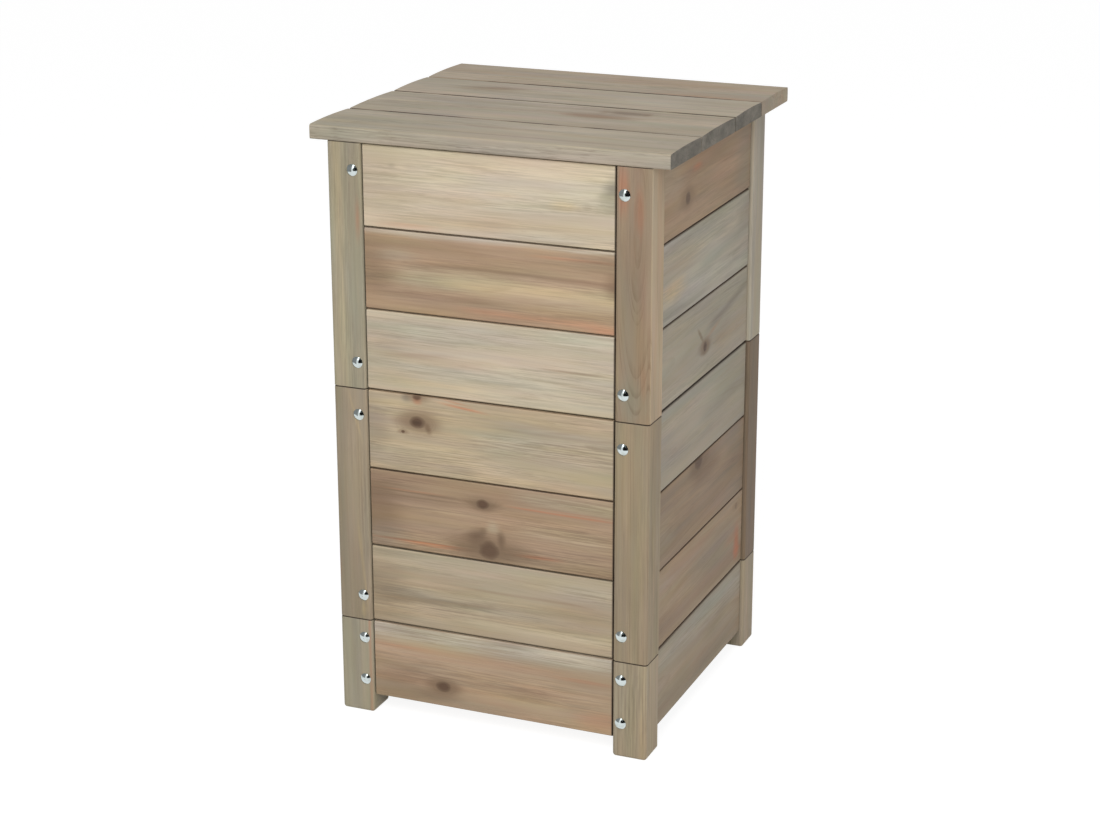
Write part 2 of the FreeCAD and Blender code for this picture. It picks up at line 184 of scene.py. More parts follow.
class Brush:
    """Adds shader nodes to a material or a sky and returns their output sockets."""

    def __init__(self, owner):
        owner.use_nodes = True
        self.tree = owner.node_tree
        self.shader = self.tree.nodes.get("Principled BSDF")

    def add(self, kind, inputs=None, output=0, **settings):
        """One node, with sockets or plain values at its inputs."""
        node = self.tree.nodes.new(kind)
        for name, value in settings.items():
            setattr(node, name, value)
        for key, value in (inputs or {}).items():
            if isinstance(value, bpy.types.NodeSocket):
                self.tree.links.new(value, node.inputs[key])
            else:
                node.inputs[key].default_value = value
        return node.outputs[output]

    def calc(self, operation, *values):
        """A sum on numbers."""
        return self.add("ShaderNodeMath", dict(enumerate(values)), operation=operation)

    def plus(self, first, second):
        """Two numbers added."""
        return self.calc("ADD", first, second)

    def minus(self, first, second):
        """One number less another."""
        return self.calc("SUBTRACT", first, second)

    def times(self, first, second):
        """Two numbers multiplied."""
        return self.calc("MULTIPLY", first, second)

    def scaled(self, value, factor, offset):
        """A number times a factor, plus an offset."""
        return self.calc("MULTIPLY_ADD", value, factor, offset)

    def size(self, value):
        """A number without its sign."""
        return self.calc("ABSOLUTE", value)

    def hypotenuse(self, run, rise):
        """The long side of a right triangle."""
        return self.calc("SQRT", self.scaled(run, run, self.times(rise, rise)))

    def total(self, values):
        """All values added up."""
        result = values[0]
        for value in values[1:]:
            result = self.plus(result, value)
        return result

    def vector(self, operation, first, second):
        """A sum on vectors."""
        return self.add("ShaderNodeVectorMath", {0: first, 1: second}, operation=operation)

    def split(self, vector):
        """The three parts of a vector."""
        node = self.add("ShaderNodeSeparateXYZ", {0: vector}).node
        return [node.outputs[i] for i in range(3)]

    def join(self, x, y, z):
        """A vector from its three parts."""
        return self.add("ShaderNodeCombineXYZ", {0: x, 1: y, 2: z})

    def place(self, kind="Object"):
        """A point of the surface in the frame of its object, or its normal there."""
        return self.add("ShaderNodeTexCoord", output=kind)

    def ramp(self, value, low, high, to_low=0.0, to_high=1.0):
        """A soft step from one value to another."""
        return self.add("ShaderNodeMapRange", {0: value, 1: low, 2: high, 3: to_low, 4: to_high},
                        interpolation_type="SMOOTHSTEP")

    def noise(self, point, waves, detail=2.0, roughness=0.5, output=0):
        """Soft noise from 0 to 1, with one wave length for each direction."""
        stretched = self.vector("DIVIDE", point, waves)
        inputs = {"Vector": stretched, "Scale": 1.0, "Detail": detail, "Roughness": roughness}
        return self.add("ShaderNodeTexNoise", inputs, output)

    def mix(self, amount, first, second, blend="MIX"):
        """Two colours mixed by an amount."""
        return self.add("ShaderNodeMix", {0: amount, 6: first, 7: second}, output=2,
                        data_type="RGBA", blend_type=blend, clamp_factor=True)

    def brighten(self, colour, amount):
        """A colour times a number."""
        return self.add("ShaderNodeVectorMath", {0: colour, 3: amount}, operation="SCALE")

    def bump(self, height, distance, strength):
        """A surface normal that follows a height."""
        return self.add("ShaderNodeBump", {"Height": height, "Distance": distance, "Strength": strength})

    def wire(self, socket, name):
        """Connect a socket to the shader of the material."""
        self.tree.links.new(socket, self.shader.inputs[name])

    def set(self, **values):
        """Set plain values on the shader of the material, with _ for the blanks in their names."""
        for name, value in values.items():
            self.shader.inputs[name.replace("_", " ")].default_value = value


def rgba(colour, shade=1.0):
    """A colour for a socket, lightened or darkened."""
    return [min(1.0, value * shade) for value in colour] + [1.0]


class Streak(NamedTuple):
    """A soft band along the grain. Millimetres from the middle of the board."""
    colour: str
    across: float
    half_width: float
    amount: float
    span: tuple = None
    slope: float = 0.0


class Stain(NamedTuple):
    """A soft patch with a ragged rim, tilted by some degrees. Millimetres from the middle of the board."""
    colour: str
    along: float
    across: float
    half_length: float
    half_width: float
    amount: float
    tilt: float = 0.0


class Knot(NamedTuple):
    """A branch through the face of a board. Millimetres from its middle."""
    along: float
    across: float
    radius: float
    dark: float = 1.0
    stretch: float = 1.3
    tilt: float = 0.0


# Tones of the faces at the low and the high end or side of a piece; the gap tone stands for dirt and painted
# shade in a joint
JOINED = ("gap", "gap")
TOP_OF_SECTION = ("gap", "umber")
FREE = (None, None)
SAWN = ("sawn_end", "sawn_end")
LEG_ENDS = (None, "gap")


class Look(NamedTuple):
    """How one piece of timber looks: its tones, its figure, and where it was cut from the log.

    Streaks, stains and knots are rows of the marks above, painted in their order.
    """
    main: str
    second: str
    shade: float = 1.0
    rings: float = 0.2  # how dark the late wood is
    pith: tuple = (8.0, 55.0)  # the heart of the log, across and behind the piece
    drift: tuple = (0.0, 0.03)  # how far the pith runs askew, across and behind
    grain: float = 0.7  # how much of the fine lines shows
    dashes: float = 0.12  # how dark the pores are
    streaks: tuple = ()
    stains: tuple = ()
    knots: tuple = ()
    rough: float = 0.0  # how deep the saw marks are
    ends: tuple = JOINED
    seams: tuple = JOINED
    end_dirt_and_shade: float = 0.0  # width of the dark line at the high end: dirt and painted shade where the board meets the post
    sides: tuple = None  # painted light and shade: how much brighter the faces turned across are, per colour
    wear: float = 1.0  # how much of the lighter rounded edges shows: worn stain and a painted highlight
    rims: tuple = (0.0, 0.0)  # widths of the painted shade along the low and the high edge


# What all looks of one kind share, with widths of dirt and painted shade in millimetres
END_DIRT_AND_SHADE = 1.8
SIDE_SHADE_RIMS = (0.6, 1.4)
front_board = partial(Look, end_dirt_and_shade=END_DIRT_AND_SHADE)
side_board = partial(Look, grain=0.38, rims=SIDE_SHADE_RIMS)
post = partial(Look, seams=FREE)
lid_board = partial(Look, grain=0.65, dashes=0.3, wear=0.0, ends=SAWN)

FRONT_LOOKS = {
    "upper_front_board_3": front_board(
        "pale", "tan", 1.0, rings=0.14, pith=(-22, 90), drift=(0.01, 0.02), grain=0.55,
        streaks=[("ash", 18, 20, 0.4), ("russet", -45, 4, 0.35, (-170, -40)),
            ("clay", -36, 8, 0.4, (-170, 60)), ("ash", 0, 22, 0.4, (-40, 190)),
            ("straw", 4, 5, 0.45, (-20, 60)), ("ash", -44, 6, 0.4, (-20, 150)),
            ("tan", -8, 5, 0.5, (-170, -30))],
        stains=[("slate", 164, 19, 23, 26, 0.95, -30), ("moss", 158, 4, 26, 20, 0.75),
            ("tan", -150, 6, 70, 70, 0.45), ("pale", -113, 26, 12, 7, 0.7),
            ("slate", -125, 27, 7, 4, 0.25), ("straw", 100, -2, 24, 8, 0.6)],
        knots=[(128, -2, 5, 0.08)]),
    "upper_front_board_2": front_board(
        "clay", "umber", 1.02, rings=0.16, pith=(4, 90), drift=(-0.01, 0.02), grain=0.5,
        streaks=[("umber", 30, 14, 0.4), ("tan", -8, 15, 1.0, (-150, 230), -0.01),
            ("straw", -5, 11, 0.85, (-90, 220), -0.01), ("umber", 12, 2.4, 0.6, (-120, 200), -0.012),
            ("ash", 49, 5, 0.75), ("clay", 32, 9, 0.5, (-40, 190)), ("russet", 36, 2, 0.35, (40, 190)),
            ("umber", -27, 4, 0.5, (-180, 40)), ("russet", -40, 5, 0.3, (-60, 180))],
        stains=[("umber", 164, 10, 20, 20, 1.0), ("umber", -160, 4, 45, 55, 0.75),
            ("russet", 152, -46, 40, 7, 0.4), ("moss", -120, 22, 40, 12, 0.4),
            ("umber", 150, 34, 50, 14, 0.45)]),
    "upper_front_board_1": front_board(
        "pale", "ash", 0.93, rings=0.16, pith=(34, 90), drift=(0.02, 0.01), grain=0.5, seams=TOP_OF_SECTION,
        streaks=[("umber", 3, 4, 0.5, (-165, -30), 0.05), ("ash", -20, 18, 0.4),
            ("umber", 1, 1.8, 0.6, (45, 180)), ("ash", 32, 18, 0.6), ("clay", -6, 7, 0.4, (-170, 20)),
            ("straw", -36, 6, 0.35, (-170, 0))],
        stains=[("tan", -150, 10, 50, 60, 0.45), ("tan", -120, -36, 90, 22, 0.6),
            ("pale", 100, -30, 90, 22, 0.5)]),
    "lower_front_board_3": front_board(
        "tan", "straw", 0.98, rings=0.18, pith=(-20, 80), drift=(0.03, -0.02), grain=0.75,
        seams=TOP_OF_SECTION,
        streaks=[("russet", 38, 2.2, 0.8, (-80, 10), -0.12), ("russet", 43, 1.6, 0.5, (-75, -15), -0.12),
            ("moss", -8, 24, 0.5, (-40, 170)), ("umber", 22, 2, 0.4, (-20, 170), -0.01),
            ("ash", 10, 8, 0.5, (-60, 90), -0.05)],
        stains=[("slate", -48, -40, 44, 9, 0.45), ("umber", -94, 18, 44, 24, 0.6),
            ("ash", 70, 24, 90, 20, 0.45), ("umber", -152, -8, 26, 26, 0.3),
            ("slate", -166, 10, 40, 60, 0.4), ("slate", -112, 47, 10, 8, 0.8),
            ("russet", -97, 46, 9, 8, 0.9), ("moss", 165, 6, 44, 60, 0.5),
            ("umber", -83, 11, 6, 11, 0.95, 20), ("knot", -84, 12, 5, 10, 0.5, 20)],
        knots=[(-97, 50, 5, 0.9, 1.2), (-97, 16.5, 7.5, 0.98, 1.35), (-117, 2, 2, 0.9)]),
    "lower_front_board_2": front_board(
        "clay", "umber", 0.87, rings=0.2, pith=(10, 90), drift=(-0.01, 0.01), grain=0.8,
        streaks=[("russet", 26, 1.4, 0.9, (5, 190), -0.012), ("russet", 29, 1.2, 0.5, (40, 190), -0.01),
            ("umber", 26, 1.6, 0.75, (-190, -10)), ("umber", 20, 1.6, 0.7, (-190, -20)),
            ("umber", 33, 1.4, 0.5, (-190, -80)), ("russet", 28, 1.2, 0.4, (-190, -40)),
            ("russet", -39, 1.8, 0.9, (-190, -5)), ("russet", -42, 1.2, 0.6, (-150, -15)),
            ("russet", -37, 2.4, 0.9, (10, 110), 0.015), ("tan", 40, 13, 1.0, (10, 230)),
            ("tan", -6, 13, 0.6, (10, 190)), ("umber", 24, 2.6, 0.9, (-44, 26))],
        stains=[("umber", -160, 0, 50, 60, 0.75), ("slate", -150, -36, 50, 20, 0.45),
            ("umber", 4, -36, 80, 24, 0.85), ("umber", -22, -17, 20, 10, 1.0, 25),
            ("umber", -10, -12, 9, 7, 0.9, 40), ("umber", 17, -19, 6, 15, 1.0, 15),
            ("tan", 4, -4, 13, 10, 0.9), ("knot", -15, -23, 18, 14, 0.6, 35),
            ("knot", 14, -23, 6, 15, 0.6, 15), ("knot", -9, 21, 18, 8, 0.45)],
        knots=[(-10, 24, 6, 0.95, 1.4), (-2, -36, 12.5, 0.85, 1.05)]),
    "lower_front_board_1": front_board(
        "tan", "moss", 0.93, rings=0.16, pith=(-6, 100), drift=(0.02, 0.01), grain=0.6,
        streaks=[("umber", -9, 5, 0.6, (-180, 40), 0.055), ("pale", 40, 12, 0.5), ("straw", -30, 14, 0.4),
            ("umber", 12, 2, 0.4, (-60, 150)), ("ash", 30, 12, 0.5, (60, 190)),
            ("pale", -34, 6, 0.45, (-60, 190), 0.02)],
        stains=[("slate", -120, -6, 70, 11, 0.35), ("clay", 120, -4, 60, 26, 0.4),
            ("umber", -150, -10, 60, 60, 0.5)]),
    "base_front_board": front_board(
        "clay", "tan", 0.97, rings=0.18, pith=(14, 80), drift=(-0.02, 0.01), grain=0.65,
        seams=TOP_OF_SECTION,
        streaks=[("ash", 46, 18, 1.0), ("russet", 22, 3, 0.25, (-190, -60)),
            ("russet", 16, 3, 0.35, (70, 190)), ("umber", -14, 8, 0.3, (-60, 120)),
            ("umber", -24, 1.6, 0.8, (-105, -30))],
        stains=[("umber", -67, -24, 30, 13, 0.8), ("pale", 110, 42, 70, 12, 0.6),
            ("russet", 150, -34, 50, 16, 0.3), ("slate", 30, 47, 50, 6, 0.6),
            ("umber", -130, -32, 70, 28, 0.5), ("umber", 50, -12, 40, 16, 0.3),
            ("umber", -78, -38, 46, 12, 0.6), ("slate", -120, 46, 70, 9, 0.35),
            ("knot", -67, -25, 26, 12, 0.4)],
        knots=[(-67, -24, 7, 0.95, 1.45)]),
}

SIDE_LOOKS = {
    "upper_right_board_3": side_board(
        "clay", "umber", 1.04, rings=0.16, pith=(-14, 80), drift=(0.02, 0.02),
        streaks=[("umber", 34, 14, 0.3), ("umber", 6, 1.6, 0.5, (10, 170))],
        stains=[("russet", -150, -4, 50, 32, 0.15), ("slate", 150, 0, 60, 70, 0.6),
            ("russet", -40, 20, 24, 6, 0.5), ("tan", -140, 20, 70, 44, 0.7),
            ("umber", -74, -12, 24, 22, 0.5)],
        knots=[(-74, -13, 8, 0.75, 1.1)]),
    "upper_right_board_2": side_board(
        "ash", "slate", 0.97, rings=0.14, pith=(22, 90), drift=(0.02, -0.02), seams=TOP_OF_SECTION,
        streaks=[("pale", 20, 16, 0.35), ("slate", -8, 8, 0.4, (-60, 170), 0.05)],
        stains=[("straw", -120, -13, 66, 20, 1.0), ("slate", 150, 20, 40, 40, 0.4),
            ("tan", -90, 20, 90, 30, 0.4)]),
    "upper_right_board_1": side_board(
        "ash", "tan", 0.91, rings=0.16, pith=(-4, 80), drift=(-0.02, 0.02), seams=TOP_OF_SECTION,
        streaks=[("tan", 0, 60, 0.35), ("slate", 6, 6, 0.7, (-20, 200), 0.14),
            ("clay", -20, 16, 0.55, (10, 190)), ("russet", -4, 3, 0.4, (-10, 70), 0.2)],
        stains=[("umber", 0, -12, 20, 15, 0.8), ("umber", -16, 4, 27, 4, 0.7, -45),
            ("knot", -1, -13, 8, 12, 0.4)],
        knots=[(0, -13, 6, 1.0, 1.0)]),
    "lower_right_board_3": side_board(
        "ash", "tan", 0.85, rings=0.14, pith=(16, 90), drift=(0.01, 0.02),
        streaks=[("tan", -20, 40, 0.45), ("pale", 24, 14, 0.45), ("slate", 0, 10, 0.4, (-40, 200))]),
    "lower_right_board_2": side_board(
        "clay", "slate", 0.8, rings=0.18, pith=(6, 80), drift=(0.01, 0.02), rims=(0.4, 1.0),
        seams=("umber", "umber"),
        streaks=[("umber", -20, 16, 0.3)],
        stains=[("umber", 6, 34, 80, 26, 0.75), ("umber", -17, 40, 40, 16, 0.8),
            ("slate", 120, 40, 60, 20, 0.5), ("tan", -150, -12, 60, 50, 0.6),
            ("umber", 140, 6, 60, 30, 0.4)],
        knots=[(-17, 46, 9, 0.9, 1.6)]),
    "lower_right_board_1": side_board(
        "clay", "tan", 0.87, rings=0.18, pith=(-18, 80), drift=(-0.01, 0.02), rims=(0.4, 0.8),
        seams=TOP_OF_SECTION,
        streaks=[("umber", -30, 12, 0.4)],
        stains=[("russet", 144, -18, 15, 34, 1.0), ("tan", -150, 30, 60, 24, 0.6),
            ("russet", 120, -4, 40, 10, 0.4), ("slate", 60, 4, 130, 36, 0.6)],
        knots=[(140, 36, 4, 0.4)]),
    "base_right_board": side_board(
        "tan", "clay", 0.81, rings=0.18, pith=(4, 80), drift=(0.02, 0.02), seams=TOP_OF_SECTION,
        streaks=[("ash", 36, 24, 0.95), ("umber", -34, 14, 0.35)],
        stains=[("pale", -150, 38, 60, 18, 0.6)]),
}

# The side faces of the right posts and legs are brightened per colour: painted light
POST_LOOKS = {
    "upper_post_front_left": post(
        "moss", "tan", 0.87, rings=0.16, pith=(30, 34), drift=(0.01, 0.01), grain=0.5,
        streaks=[("russet", 17, 3.5, 0.45, (20, 100)), ("straw", -8, 8, 0.35)]),
    "lower_post_front_left": post(
        "tan", "moss", 0.74, rings=0.18, pith=(-30, 40), drift=(0.02, 0.01), grain=0.4,
        streaks=[("straw", 37.7, 2.0, 0.9, (75, 165), -0.255), ("straw", 5, 2.2, 0.9, (-170, 0), -0.09),
            ("slate", -14, 7, 0.4), ("russet", -21, 2, 0.4, (-110, -60))],
        stains=[("straw", -141, 12, 14, 4.5, 1.0)]),
    "base_leg_front_left": post(
        "moss", "slate", 0.94, rings=0.16, pith=(30, 44), drift=(0.01, 0.01), grain=0.5, ends=LEG_ENDS,
        streaks=[("russet", 19, 2.2, 0.45), ("tan", 10, 5, 0.5)]),
    "upper_post_front_right": post(
        "clay", "tan", 0.72, rings=0.4, pith=(-6, 12.9), drift=(0.0, 0.12), grain=0.35,
        sides=(1.72, 1.81, 1.84), wear=0.4,
        streaks=[("straw", -19, 2.6, 0.5, (-170, -40)), ("moss", -4, 12, 0.5, (-170, 60))],
        stains=[("russet", 128, -13, 40, 9, 0.6), ("russet", 104, 8, 40, 8, 0.5),
            ("umber", 30, 0, 110, 26, 0.25), ("moss", -128, 0, 40, 26, 0.7),
            ("russet", -105, 14, 30, 5, 0.2)]),
    "lower_post_front_right": post(
        "tan", "straw", 0.63, rings=0.4, pith=(60, 30), drift=(0.0, 0.0), grain=0.6, sides=(1.2, 1.2, 1.2),
        wear=0.4,
        streaks=[("straw", 0, 24, 0.55), ("moss", 6, 6, 0.3)]),
    "base_leg_front_right": post(
        "tan", "moss", 0.78, rings=0.4, pith=(64, 24), drift=(0.0, 0.0), grain=0.5, ends=LEG_ENDS,
        sides=(1.16, 1.16, 1.16), wear=0.4,
        streaks=[("straw", 18, 5, 0.6)]),
    "upper_post_back_right": post("ash", "straw", 0.88, rings=0.18, pith=(40, 40), grain=0.5),
    "lower_post_back_right": post(
        "clay", "slate", 0.52, rings=0.2, pith=(-40, 30), grain=0.5,
        streaks=[("russet", 8, 2.5, 0.5, (-120, 120))],
        stains=[("slate", -110, 0, 40, 20, 0.6)]),
    "base_leg_back_right": post("tan", "moss", 0.9, rings=0.2, pith=(40, -30), grain=0.5, ends=LEG_ENDS),
}

# The front and back edges of lid_board_1 are darkened per colour: painted shade
LID_LOOKS = {
    "lid_board_1": lid_board(
        "driftwood", "moss", 1.02, pith=(-10, -60), drift=(0.01, 0.02), seams=(None, "gap"),
        sides=(0.93, 0.94, 0.99),
        streaks=[("ash", 30, 14, 0.35), ("slate", -30, 3, 0.5), ("slate", 6, 2, 0.4, (-230, 60)),
            ("slate", -44, 2, 0.6, (-200, -60))],
        stains=[("moss", -190, -14, 80, 60, 0.9), ("slate", -200, -40, 60, 30, 0.35),
            ("ash", 60, 20, 80, 16, 0.5)]),
    "lid_board_2": lid_board(
        "driftwood", "slate", 1.05, pith=(6, -44), drift=(-0.02, 0.04),
        streaks=[("slate", 20, 1.6, 0.7, (-180, -40)), ("pale", 56, 3.5, 0.7), ("moss", -20, 14, 0.4)],
        stains=[("umber", 82, 2, 72, 24, 0.6), ("umber", 68, -4, 54, 16, 0.7),
            ("umber", 130, 30, 8, 14, 0.6), ("umber", 74, 30, 8, 12, 0.5)],
        knots=[(106, 30, 9, 0.45, 3.0)]),
    "lid_board_3": lid_board(
        "driftwood", "ash", 1.03, pith=(20, -58), drift=(0.03, 0.02),
        streaks=[("slate", -30, 3, 0.5)],
        stains=[("umber", -124, -2, 72, 26, 0.5), ("umber", -108, 6, 50, 14, 0.6, 12),
            ("ash", 110, 0, 90, 30, 0.4)]),
    "lid_board_4": lid_board(
        "driftwood", "clay", 1.02, pith=(-24, -66), drift=(0.02, -0.02), ends=("sawn_end", None),
        seams=("gap", None),
        streaks=[("clay", 20, 20, 0.5, (-40, 240)), ("russet", -48, 3, 0.35, (60, 240))]),
}


# What the timber of the far sides is drawn from
UNSEEN_TIMBER = (("pale", "tan", 0.92), ("tan", "moss", 0.94), ("tan", "slate", 0.90),
                 ("clay", "umber", 0.94), ("ash", "slate", 0.92), ("clay", "tan", 0.98))
UNSEEN_STREAKS = ("russet", "umber", "ash", "straw", "slate", "umber")
THIN_STREAKS = ("russet", "umber")
KNOT_COUNTS = (0, 1, 1, 2)


def is_upright(node):
    """Whether a node is a corner post or a leg."""
    return "_post_" in node or "_leg_" in node


def unseen_look(node):
    """A look for a wall board or post on the far sides, drawn from the same few kinds of timber."""
    draw = random.Random(node)
    main, second, shade = draw.choice(UNSEEN_TIMBER)
    low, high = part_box(node)
    size = sorted((high - low) / MM)
    half_length, half_width = size[2] / 2, size[1] / 2
    slim = is_upright(node)
    streaks, stains, knots = [], [], []
    for _ in range(draw.randint(3, 5)):
        colour = draw.choice(UNSEEN_STREAKS)
        middle = draw.uniform(-half_width, half_width)
        start = draw.uniform(-1.1, 0.2) * half_length
        width = draw.uniform(1.2, 3.0) if colour in THIN_STREAKS else half_width * draw.uniform(0.1, 0.3)
        amount = draw.uniform(0.3, 0.6)
        end = start + half_length * draw.uniform(0.7, 1.6)
        streaks.append((colour, middle, width, amount, (start, end), draw.uniform(-0.03, 0.03)))
    for _ in range(0 if slim else draw.choice(KNOT_COUNTS)):
        spot = (draw.uniform(-0.8, 0.8) * half_length, draw.uniform(-0.7, 0.7) * half_width)
        radius = draw.uniform(4, 9)
        knots.append((*spot, radius, draw.uniform(0.7, 0.95)))
        stains.append(("umber", *spot, radius * 4, radius * 2.2, 0.4))
    return Look(main, second, shade, rings=draw.uniform(0.3, 0.5), seams=FREE if slim else JOINED,
                ends=LEG_ENDS if "_leg_" in node else JOINED,
                pith=(draw.uniform(-30, 30), draw.uniform(38, 70)),
                drift=(draw.uniform(-0.03, 0.03), draw.uniform(-0.05, 0.05)),
                streaks=streaks, stains=stains, knots=knots)


def grain_order(node):
    """The axes along the grain, across it and through the thickness, by the node's sizes."""
    low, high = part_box(node)
    size = [round(value, 4) for value in high - low]
    return sorted(range(3), key=lambda axis: -size[axis])


class Waves(NamedTuple):
    """A noise in the timber: wave lengths in millimetres along and across the grain, and its octaves."""
    along: float
    across: float
    detail: float
    roughness: float = 0.5


SWAY = Waves(520, 95, 1.0)
JITTER = Waves(46, 8, 2.0)
LINES = Waves(210, 4.2, 2.0, 0.6)
PATCHES = Waves(240, 40, 2.0)
CROWD = Waves(220, 24, 1.0)
WANDER = Waves(130, 14, 3.0, 0.6)
FIGURE = Waves(330, 13, 3.0, 0.65)
MOTTLE = Waves(140, 20, 2.0)
RING_BREAKS = Waves(85, 10, 2.0)
DIRT_AND_SHADE_WAVES = Waves(120, 300, 3.0, 0.6)
KNOT_RIM_WAVES = (14, 9, 30)
SOAK_WAVES = (60, 26, 18)

# How far the grain sways and jitters to either side, and how far apart pieces lie in the log, in millimetres
SWAY_REACH, JITTER_REACH = 3.5, 0.6
LOG_REACH, GROUP_REACH = 900, 700.0

# Soft steps: the limits of a noise, of a year's ring or of a turn, and the values there if not 0 and 1
PORE_STEP = (0.57, 0.72)
PORE_CROWD_STEP = (0.35, 0.62, 0.2, 1.0)
FIBRE_CROWD_STEP = (0.3, 0.7, 0.1, 1.5)
STREAK_FIBRE_STEP = (0.25, 0.65, 0.5, 1.0)
STAIN_FIBRE_STEP = (0.25, 0.65, 0.7, 1.0)
LATE_WOOD_STEP = (0.45, 0.9)
YEAR_END_STEP = (0.93, 1.0, 1.0, 0.0)
RING_BREAK_STEP = (0.35, 0.62, 0.2, 1.0)
FIGURE_STEP = (0.36, 0.68, 0.0, 0.4)
FIBRE_STEP = (0.36, 0.64)
DIRT_AND_SHADE_STEP = (0.36, 0.56)
EDGE_HIGHLIGHT_STEP = (0.74, 0.96)
SIDE_LIGHT_STEP = (0.7, 1.0)

# A streak: its wandering and its softness as shares of its half width, the most that it wanders and the
# length over which it fades in millimetres, and how much of the sway it follows
STREAK_WANDER, STREAK_SOFTNESS = 1.8, 1.5
STREAK_WANDER_LIMIT, STREAK_FADE = 9.0, 60.0
STREAK_SWAY = 0.4

# A stain: how ragged it is, and where it is full and where it has faded, as shares of its half width
STAIN_RAGGED, STAIN_FULL, STAIN_FADED = 1.1, 0.15, 1.1

# A knot: shares of its radius for its parts, and how dark these are
KNOT_RAGGED = 0.5
KNOT_HEART = (0.5, 1.2)
KNOT_RIM, KNOT_RIM_WIDTH, KNOT_RIM_DARK = 0.9, 0.3, 0.2
KNOT_HALO, KNOT_HALO_DARK, KNOT_HALO_STRETCH = (0.6, 2.3), 0.7, 2.4
KNOT_BEND, KNOT_BEND_REACH = 1.1, 2.6
KNOT_EARLY_SHADE, KNOT_LATE_SHADE, KNOT_RIM_SHADE = 1.15, 0.75, 0.7

# Growth rings: how fast their width changes per millimetre, and by how many years
RING_CHANGE, RING_YEARS = 0.11, 6.0
LATE_WOOD_TINT = (0.60, 0.52, 0.45, 1.0)
PORE_TINT = (0.50, 0.44, 0.40, 1.0)
MOTTLE_TINT = (0.18, 0.08, 0.26)

# Brightness of the wood: at its least, and what the patches, the lines and the fibres add to it
LEAST_LIGHT, PATCH_LIGHT, LINE_LIGHT, FIBRE_LIGHT = 0.74, 0.54, 0.12, 0.18
# Brightness of the pieces in a group: at its least, and what sets them apart
GROUP_LEAST_LIGHT, GROUP_LIGHT = 0.85, 0.3

# Height of late wood and pores against the fibres, wander and shade of the saw marks, strength of the relief,
# and roughness of the stain at its least and what the fibres add to it
LATE_WOOD_HEIGHT, PORE_HEIGHT = -0.5, -0.6
SAW_WANDER, SAW_SHADE = 9.0, 0.08
RELIEF_STRENGTH = 0.6
LEAST_ROUGHNESS, FIBRE_ROUGHNESS = 0.48, 0.26

# How far a face is turned where the dark of an end or a seam starts and is full, at the low and the high side
END_TURN = {"board": ((0.5, 0.85),) * 2, "post": ((0.3, 0.7),) * 2, "lid": ((0.5, 0.85),) * 2}
SEAM_TURN = {"board": ((0.88, 0.98), (0.6, 0.9)), "post": ((0.8, 1.0),) * 2, "lid": ((0.2, 0.5), (0.15, 0.4))}

# How square a face is to an axis where it counts as a flat end or edge, clear of the dirt and painted shade in
# a seam
FLAT_FACE = (0.985, 0.998)

# End grain: how much of its stain and its rings shows, and the stain's least brightness and its change
END_AMOUNT, END_RINGS = 0.92, 0.35
SOAK_LEAST, SOAK_CHANGE = -0.3, 2.4
# Dirt and painted shade: the least and the most of it in the seams, and how much shows at the high end and, as
# painted shade, along the edges
DIRT_AND_SHADE_LEAST = {"board": 0.7, "post": 0.7, "lid": 0.35}
DIRT_AND_SHADE_MOST, CORNER_DIRT_AND_SHADE, RIM_SHADE = 0.92, 0.85, 0.6
# A rim of painted shade: its wandering, and how far from the edge it starts and is full, as shares of its
# width
RIM_WANDER, RIM_START, RIM_FULL = 1.6, 1.4, 0.5


